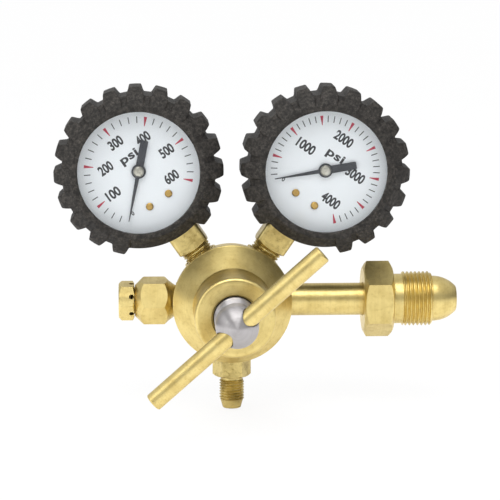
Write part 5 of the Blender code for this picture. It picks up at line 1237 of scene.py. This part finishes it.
def build_dials():
    """Each dial: a turned plate, its marks and numbers at angles in proportion to their value, and
    two slotted screws, turned and cut by a block."""
    for side, (full, step, first) in SCALES.items():
        axis = dial_axis(side)
        face = soften(rows((DIAL_BORE, DIAL_FRONT), (DIAL_RADIUS, DIAL_FRONT),
                           (DIAL_RADIUS, DIAL_BACK), (DIAL_BORE, DIAL_BACK)), 0.15, closed=True)
        make(side + "_dial_face", [turned(axis, face, ring=True)], "white_paint", side + "_dial")
        majors = [scale_angle(v, full) for v in range(step, full + 1, step)]
        minors = [scale_angle(step * k / DIVISIONS, full)
                  for k in range(2, full // step * DIVISIONS) if k % DIVISIONS]
        ink(side + "_divisions", [strokes(majors, *MAIN_MARK)], axis, "red_ink")
        marks = [strokes(minors, *SMALL_MARK)]
        height, digit = sizes().number_height, sizes().number_width
        for value in range(first, full + 1, first):
            width = digit * len(str(value)) - 0.15
            angle = math.radians(scale_angle(value, full))
            sine, cosine = math.sin(angle), math.cos(angle)
            reach = NUMBER_REACH - width / 2 * abs(sine) - height / 2 * abs(cosine)
            middle = (reach * sine, reach * cosine)
            marks.append(lettering(str(value), width, height, middle))
        zero = math.radians(ZERO_ANGLE)
        middle = (ZERO_REACH * math.sin(zero), ZERO_REACH * math.cos(zero))
        marks.append(lettering("0", *ZERO_SIZE, middle))
        marks.append(lettering("psi", *UNIT_PRINT))
        ink(side + "_figures", marks, axis, "black_ink")
        head = soften(rows((0, DIAL_SCREW_FRONT), (DIAL_SCREW_RADIUS * 0.7, DIAL_SCREW_FRONT),
                           (DIAL_SCREW_RADIUS, DIAL_SCREW_FRONT - 0.35),
                           (DIAL_SCREW_RADIUS, DIAL_SCREW_BACK),
                           (DIAL_SCREW_SHANK, DIAL_SCREW_BACK),
                           (DIAL_SCREW_SHANK, DIAL_SCREW_FOOT), (0, DIAL_SCREW_FOOT)), 0.25)
        around = circle(40)
        for hand, (x, y), turn in zip(SIDES, DIAL_SCREW_PLACES, SLOT_TURNS):
            way = math.cos(turn) * axis.across + math.sin(turn) * axis.up
            spot = Axis(axis.place(x, y, 0), axis.along, way)
            slot = box(spot, (-3, -SLOT_WIDTH / 2, DIAL_SCREW_FRONT - SLOT_DEPTH),
                       (3, SLOT_WIDTH / 2, DIAL_SCREW_FRONT + 1))
            name = side + "_dial_screw_" + hand
            make(name + "_slotted", [turned(spot, head, around)], "screw_brass", name,
                 cutters=[slot])


def blade(axis, angle, stations, back, front):
    """A flat pointer along one direction of the dial: for each station a reach and a half width,
    and round it a six-sided section with its front edges broken."""
    angle = math.radians(angle)
    reach, half = np.array(stations).T[:, :, None]
    edge = np.minimum(half * 0.35, 0.16)
    zero = np.zeros_like(half)
    across = np.concatenate((-half, half, half, half - edge, edge - half, -half), axis=1)
    depth = np.concatenate((zero + back, zero + back, front - edge, zero + front, zero + front,
                            front - edge), axis=1)
    reach = np.broadcast_to(reach, across.shape)
    x = reach * math.sin(angle) + across * math.cos(angle)
    y = reach * math.cos(angle) - across * math.sin(angle)
    grid = axis.place(x, y, depth)
    middle = grid.mean(axis=1, keepdims=True)
    ends = [np.repeat(end, 6, axis=1) for end in (middle[:1], middle[-1:])]
    grid = np.concatenate((ends[0], grid, ends[1]))
    along = np.concatenate((reach[:1, 0], reach[:, 0], reach[-1:, 0])) / METRE
    return surface(grid, along, np.linspace(0, 0.002, 6))


def build_pointers():
    """Each pointer: a blade through stations of reach and half width with a turned hub, and its
    turned cap."""
    around = circle(64)
    for side in SIDES:
        axis = dial_axis(side)
        tail, neck = POINTER_TAIL_WIDTH / 2, POINTER_NECK_WIDTH / 2
        stations = [(-POINTER_TAIL, tail * 0.80), (-POINTER_TAIL + 0.25, tail * 0.96),
                    (-POINTER_TAIL + 0.6, tail), (-8.0, tail * 1.0), (-POINTER_HUB, tail * 1.02),
                    (-1.0, tail), (POINTER_HUB * 0.7, neck * 1.8), (POINTER_HUB + 0.3, neck * 1.55),
                    (12.0, neck * 1.05), (POINTER_TIP - 0.3, neck / 3), (POINTER_TIP, neck / 6)]
        top = POINTER_FRONT + 0.1
        hub = soften(rows((POINTER_BORE, POINTER_BACK), (POINTER_HUB, POINTER_BACK),
                          (POINTER_HUB, top), (POINTER_BORE, top)), 0.12, closed=True)
        body = side + "_pointer"
        parts = [blade(axis, POINTER_REST, stations, POINTER_BACK, POINTER_FRONT),
                 turned(axis, hub, around, ring=True)]
        make(body + "_blade", parts, "pointer", body, body)
        outline = soften(rows((0, CAP_FRONT - 0.30), (0.42, CAP_FRONT - 0.30), (0.50, CAP_FRONT),
                              (CAP_RADIUS * 0.75, CAP_FRONT - 0.12), (CAP_RADIUS, CAP_FRONT - 0.7),
                              (CAP_RADIUS, CAP_BACK), (POINTER_BORE, CAP_BACK),
                              (POINTER_BORE, CAP_BACK + 0.6), (0, CAP_BACK + 0.6)),
                         [0, 0.05, 0.1, 0.4, 0.3, 0.1, 0.1, 0.1, 0])
        make(body + "_cap_turned", [turned(axis, outline, around)], "nickel", body + "_cap",
             body=body)


def boot_sections():
    """The boot's closed outline twice, as (row, where, (radius, height)): between the teeth and
    over a tooth's top."""
    pairs = (
        ((LIP_RADIUS, LENS_SEAT), None), ((LIP_RADIUS, BOOT_FRONT), None),
        ((LIP_FACE, BOOT_FRONT), None), ((30.2, 17.06), (30.4, 17.6)), ((32.9, 14.2), (36.2, 13.0)),
        ((BOOT_RADIUS, BOOT_BEVEL), (TOOTH_RADIUS, 11.0)),
        ((BOOT_RADIUS, 2.0), (TOOTH_RADIUS, 2.0)), ((BOOT_RADIUS, -7.5), (TOOTH_RADIUS, -7.5)),
        ((BOOT_RADIUS, -10.8), (BOOT_RADIUS, -11.0)),
        ((32.3, BOOT_BACK), None), ((BACK_OPENING, BOOT_BACK), None), ((BACK_OPENING, -10.8), None),
        ((BOOT_INSIDE, -10.8), None), ((BOOT_INSIDE, 13.7), None), ((30.9, 13.7), None),
        ((30.9, LENS_SEAT), None),
    )
    outline = np.array([(root, tooth or root) for root, tooth in pairs])
    amount = [0.3, 0.7, 0.5, 0.5, 0.9, 1.0, 0.0, 0.9, 0.7, 0.7, 0.5, 0.3, 0.1, 0.1, 0.1, 0.1]
    outline = soften(outline, amount, closed=True, steps=4)
    return densify(outline, [(-11, 17.5)], 2.2, closed=True)


def boot_columns():
    """Round the boot: each column's tooth, its place on the flank (0 at the top's edge, 1 at the
    foot), its share of the tooth's height, and its share of the gap to the next tooth."""
    flank = np.array(((-0.45, 1), (-0.2, 0.985), (0, 0.93), (0.15, 0.80), (0.5, 0.45), (0.85, 0.12),
                      (1.05, 0.035), (FLANK_FOOT, 0)))
    columns = []
    for k in range(TOOTH_COUNT):
        for place, height in flank[::-1]:
            columns.append((k, -1, place, height, 0))
        columns.append((k, 0, 0, 1, 0))
        for place, height in flank:
            columns.append((k, 1, place, height, 0))
        count = LAST_GAP_COLUMNS if k == TOOTH_COUNT - 1 else GAP_COLUMNS
        for i in range(1, count + 1):
            columns.append((k, 2, FLANK_FOOT, 0, i / (count + 1)))
    return np.array(columns, float)


def boot_surface(side):
    """A point's radius and height are its root's plus its column's share of the way to the tooth's
    top. Its angle is its tooth's middle plus or minus y over the radius, where y is the top's half
    width and, further down the flank, up to FLANK_SHARE of the tooth's depth more."""
    sections = boot_sections()
    root, tooth = sections[:, None, 0], sections[:, None, 1]
    number, way, flank, share, gap = boot_columns().T
    spot = root + share[None, :, None] * (tooth - root)
    depth = np.linalg.norm(tooth - root, axis=-1)
    half = np.interp(tooth[..., 0], *TOOTH_HALVES)
    spread = np.maximum(FLANK_SHARE * depth, 0.5)
    turn = (half + spread * flank) / root[..., 0]
    middle = np.radians(FIRST_TOOTH + TOOTH_PITCH * number)
    angle = middle + np.sign(way) * (way != 0) * turn
    pitch = math.radians(TOOTH_PITCH)
    last = math.radians(360 - TOOTH_PITCH * (TOOTH_COUNT - 1))
    room = np.where(number == TOOTH_COUNT - 1, last, pitch) - 2 * turn
    angle = np.where(way == 2, middle + turn + gap * room, angle)
    hand = 1 if side == "left" else -1
    angle = -math.pi / 2 + hand * angle
    axis = dial_axis(side)
    points = axis.place(spot[..., 0] * np.cos(angle), spot[..., 0] * np.sin(angle), spot[..., 1])
    step = np.linalg.norm(np.diff(sections[:, 0], axis=0), axis=1)
    along = np.concatenate(([0], np.cumsum(step))) / METRE
    around = np.linspace(0, 2 * math.pi * BOOT_RADIUS, len(number), endpoint=False) / METRE
    return surface(points, along, around, ring=True)


def build_boots():
    """Each boot, with the opening for its gauge's stem cut through it."""
    for side in SIDES:
        make(side + "_boot_moulded", [boot_surface(side)], "rubber", side + "_boot",
             cutters=[stem_opening(side, -LIP_RADIUS / 2)], sharp=60.0)


def build_coils():
    """The three coil springs: each is the CAD model's coil with its doubles merged."""
    for name, (joint, axis, fixed, travel) in COILS.items():
        node = frame["nodes"][name]
        mesh = node.data.copy()
        mesh.name = name + "_wound"
        mesh.transform(node.matrix_world)
        clean_up(mesh)
        mesh.materials.clear()
        mesh.materials.append(finishes()["spring_steel"])
        mesh.shade_smooth()
        mesh.set_sharp_from_angle(angle=math.radians(50))
        piece = new_object(mesh.name, mesh)
        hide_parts(name)
        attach(piece, "regulator")
        places = np.empty(3 * len(mesh.vertices))
        mesh.vertices.foreach_get("co", places)
        direction, anchor = [0.0] * 3, [0.0] * 3
        direction[axis], anchor[axis] = 1.0, fixed / METRE
        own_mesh(piece)


def build_inner():
    """The pieces that stay as they are in the CAD model get their finish by the record's slots."""
    build_coils()
    groups = frame["record"]["materials"]
    kinds = {
        "spring_steel": ("spring", "hairspring"), "thin_steel": ("diaphragm", "plate"),
        "bronze": ("bourdon_tube", "filter"), "polymer": ("seat_disc", "slip_ring"),
    }
    known = {group["slot"] for group in groups}
    for name, node in frame["nodes"].items():
        if node.hide_render:
            continue
        slot = "brass"
        for kind, words in kinds.items():
            if kind in known and any(word in name for word in words):
                slot = kind
        key = "forged" if slot == "brass" else slot
        node.data.materials.clear()
        node.data.materials.append(finishes()[key])


def aimed(name, data, place, target):
    """A lamp or the camera at its place, turned to look at its target."""
    thing = new_object(name, data)
    thing.location = place
    thing.rotation_mode = "QUATERNION"
    thing.rotation_quaternion = (target - thing.location).to_track_quat("-Z", "Y")
    return thing


def lamp(name, place, size, power):
    """A white soft box, aimed at the middle of the part. size is its width and height in metres."""
    data = bpy.data.lights.new(name, "AREA")
    data.shape = "RECTANGLE"
    data.size, data.size_y = size
    data.energy = power
    return aimed(name, data, place, (CAD_LOW + CAD_HIGH) / 2)


def build_room():
    """A light tent: plain white for the camera and behind glass, and for gloss a white dome with a
    dimmer patch where the photographer stands and a dimmer band at the horizon."""
    stage = bpy.context.scene.regulator_stage
    world = bpy.data.worlds.new("Tent")
    bpy.context.scene.world = world
    world.use_nodes = True
    f = Finish.__new__(Finish)
    f.tree = world.node_tree
    f.tree.nodes.clear()
    way = f.add("TexCoord").outputs["Generated"]
    parts = f.add("SeparateXYZ", {"Vector": way})
    front = f.spread(f.maths("MULTIPLY", parts.outputs[1], -1.0), 0.55, 0.97, 0, 1)
    height = f.maths("ABSOLUTE", f.maths("ADD", parts.outputs[2], 0.05), 0)
    level = f.spread(height, 0.20, 0.55, 1, 0)
    low = f.spread(parts.outputs[2], -0.55, 0.0, 0.30, 0)
    side = f.spread(parts.outputs[0], -0.9, 0.9, 0.0, 0.22)
    beside = f.spread(f.maths("ABSOLUTE", parts.outputs[0], 0), 0.25, 0.75, 0, 0.85)
    dim = f.maths("MAXIMUM", f.maths("MULTIPLY", front, 0.60), f.maths("MULTIPLY", level, beside))
    dim = f.maths("MAXIMUM", dim, low)
    dim = f.maths("ADD", dim, side)
    gloss = f.mix(dim, (0.85, 0.85, 0.85), (0.06, 0.06, 0.065))
    path = f.add("LightPath")
    plain = f.mix(path.outputs["Is Glossy Ray"], (stage.room, stage.room, stage.room * 1.01), gloss)
    seen = f.maths("MAXIMUM", path.outputs["Is Camera Ray"], path.outputs["Is Transmission Ray"])
    colour = f.mix(seen, plain, (1, 1, 1))
    shade = f.add("Background", {"Color": colour, "Strength": 1.0})
    f.put(shade.outputs[0], f.add("OutputWorld").inputs["Surface"])


def build_floor():
    """A white sweep under the part that keeps a faint shadow."""
    f = Finish("Floor white")
    tone = f.noise(f.place(), 0.004, 2)
    white = f.mix(f.spread(tone, 0.3, 0.7), (0.93, 0.93, 0.93), (0.95, 0.95, 0.95))
    matt = f.add("BsdfDiffuse", {"Color": white})
    glow = f.add("Emission", {"Color": (1, 1, 1), "Strength": 1.0})
    path = f.add("LightPath")
    share = f.maths("MULTIPLY", path.outputs["Is Camera Ray"], 0.88)
    both = f.add("MixShader", {"Fac": share})
    f.put(matt.outputs[0], both.inputs[1])
    f.put(glow.outputs[0], both.inputs[2])
    finish = f.close(both.outputs[0])
    z, end = CAD_LOW.z - FLOOR_DROP, FLOOR_REACH
    mesh = bpy.data.meshes.new("floor")
    mesh.from_pydata([(-end, -end, z), (end, -end, z), (end, end, z), (-end, end, z)], [],
                     [(0, 1, 2, 3)])
    floor = new_object("floor", mesh)
    mesh.materials.append(finish)
    return floor


def build_stage():
    """The camera on a sphere round its target, by azimuth and elevation, with lamps and room."""
    stage = bpy.context.scene.regulator_stage
    a, e = stage.azimuth, stage.elevation
    back = Vector((math.sin(a) * math.cos(e), -math.cos(a) * math.cos(e), math.sin(e)))
    data = bpy.data.cameras.new("camera")
    data.sensor_width = SENSOR
    data.lens = SENSOR / 2 / math.tan(stage.field / 2)
    data.clip_start, data.clip_end = 0.05, 50.0
    camera = aimed("camera", data, TARGET + back * stage.distance, TARGET)
    bpy.context.scene.camera = camera
    above = lamp("lamp_above", (-0.20, -0.55, 0.95), (0.9, 0.7), stage.key)
    left = lamp("lamp_left", (-1.0, -0.5, 0.25), (0.5, 0.8), stage.fill)
    build_room()
    build_floor()
    bpy.context.scene.view_settings.view_transform = "Standard"


class PieceOperator:
    """What the operators share: each runs its building function, which raises if it fails."""

    bl_options = {"REGISTER"}

    def execute(self, context):
        self.build()
        return {"FINISHED"}


class BuildStage(PieceOperator, bpy.types.Operator):
    """Camera, lamps, white room and floor"""

    bl_idname = "regulator.stage"
    bl_label = "Stage"
    build = staticmethod(build_stage)


class BuildBody(PieceOperator, bpy.types.Operator):
    """The body forging with its five port bosses"""

    bl_idname = "regulator.body"
    bl_label = "Body"
    build = staticmethod(build_body)


class BuildBonnet(PieceOperator, bpy.types.Operator):
    """The bonnet: flange, cone, nose, mouth and vent"""

    bl_idname = "regulator.bonnet"
    bl_label = "Bonnet"
    build = staticmethod(build_bonnet)


class BuildScrew(PieceOperator, bpy.types.Operator):
    """The adjusting screw: thread, domed end and cross hole"""

    bl_idname = "regulator.screw"
    bl_label = "Adjusting screw"
    build = staticmethod(build_screw)


class BuildBar(PieceOperator, bpy.types.Operator):
    """The brass T bar"""

    bl_idname = "regulator.bar"
    bl_label = "T bar"
    build = staticmethod(build_bar)


class BuildRear(PieceOperator, bpy.types.Operator):
    """The rear plug and its gasket"""

    bl_idname = "regulator.rear"
    bl_label = "Rear plug and gasket"
    build = staticmethod(build_rear)


class BuildNipple(PieceOperator, bpy.types.Operator):
    """The inlet's tube, collar, round nose and filter"""

    bl_idname = "regulator.nipple"
    bl_label = "Inlet nipple and filter"
    build = staticmethod(build_nipple)


class BuildNut(PieceOperator, bpy.types.Operator):
    """The inlet nut: hex, neck and thread"""

    bl_idname = "regulator.nut"
    bl_label = "Inlet nut"
    build = staticmethod(build_nut)


class BuildOutlet(PieceOperator, bpy.types.Operator):
    """The outlet: hex, flare thread and nose"""

    bl_idname = "regulator.outlet"
    bl_label = "Outlet fitting"
    build = staticmethod(build_outlet)


class BuildRelief(PieceOperator, bpy.types.Operator):
    """The relief valve's hex body and vented cap"""

    bl_idname = "regulator.relief"
    bl_label = "Relief valve"
    build = staticmethod(build_relief)


class BuildSockets(PieceOperator, bpy.types.Operator):
    """The gauges' square stems and the pillars for the dial screws"""

    bl_idname = "regulator.sockets"
    bl_label = "Gauge sockets"
    build = staticmethod(build_sockets)


class BuildCases(PieceOperator, bpy.types.Operator):
    """The gauges' drawn cases and moulded lenses"""

    bl_idname = "regulator.cases"
    bl_label = "Cases and lenses"
    build = staticmethod(build_cases)


class BuildDials(PieceOperator, bpy.types.Operator):
    """The dials, their print and their screws"""

    bl_idname = "regulator.dials"
    bl_label = "Dials"
    build = staticmethod(build_dials)


class BuildPointers(PieceOperator, bpy.types.Operator):
    """The pointers and their caps"""

    bl_idname = "regulator.pointers"
    bl_label = "Pointers"
    build = staticmethod(build_pointers)


class BuildBoots(PieceOperator, bpy.types.Operator):
    """The toothed rubber boots"""

    bl_idname = "regulator.boots"
    bl_label = "Boots"
    build = staticmethod(build_boots)


class BuildInner(PieceOperator, bpy.types.Operator):
    """Finishes of the pieces that stay as the CAD model has them"""

    bl_idname = "regulator.inner"
    bl_label = "Inner pieces"
    build = staticmethod(build_inner)


OPERATORS = (BuildStage, BuildBody, BuildBonnet, BuildScrew, BuildBar, BuildRear, BuildNipple,
             BuildNut, BuildOutlet, BuildRelief, BuildSockets, BuildCases, BuildDials,
             BuildPointers, BuildBoots, BuildInner)
GROUPS = {"regulator_sizes": SurfaceSizes, "regulator_finishes": SurfaceFinishes,
          "regulator_stage": StageSettings}


class RegulatorPanel(bpy.types.Panel):
    """Lists the operators and their settings"""

    bl_idname = "VIEW3D_PT_regulator"
    bl_label = "Gas regulator"
    bl_space_type = "VIEW_3D"
    bl_region_type = "UI"
    bl_category = "Regulator"

    def draw(self, context):
        for operator in OPERATORS:
            self.layout.operator(operator.bl_idname)
        for name, group in GROUPS.items():
            settings = getattr(context.scene, name)
            for field in group.__annotations__:
                self.layout.prop(settings, field)


def register():
    """Registers the groups, gives the scene one of each, and registers the operators and panel."""
    for name, group in GROUPS.items():
        bpy.utils.register_class(group)
        setattr(bpy.types.Scene, name, PointerProperty(type=group))
    for shown in (*OPERATORS, RegulatorPanel):
        bpy.utils.register_class(shown)


def unregister():
    """Takes away what register made, in the opposite order."""
    for shown in (RegulatorPanel, *reversed(OPERATORS)):
        bpy.utils.unregister_class(shown)
    for name, group in reversed(GROUPS.items()):
        delattr(bpy.types.Scene, name)
        bpy.utils.unregister_class(group)


def main():
    """Builds everything in order."""
    register()
    for operator in OPERATORS:
        getattr(bpy.ops.regulator, operator.bl_idname.split(".")[1])()


if __name__ == "__main__":
    main()
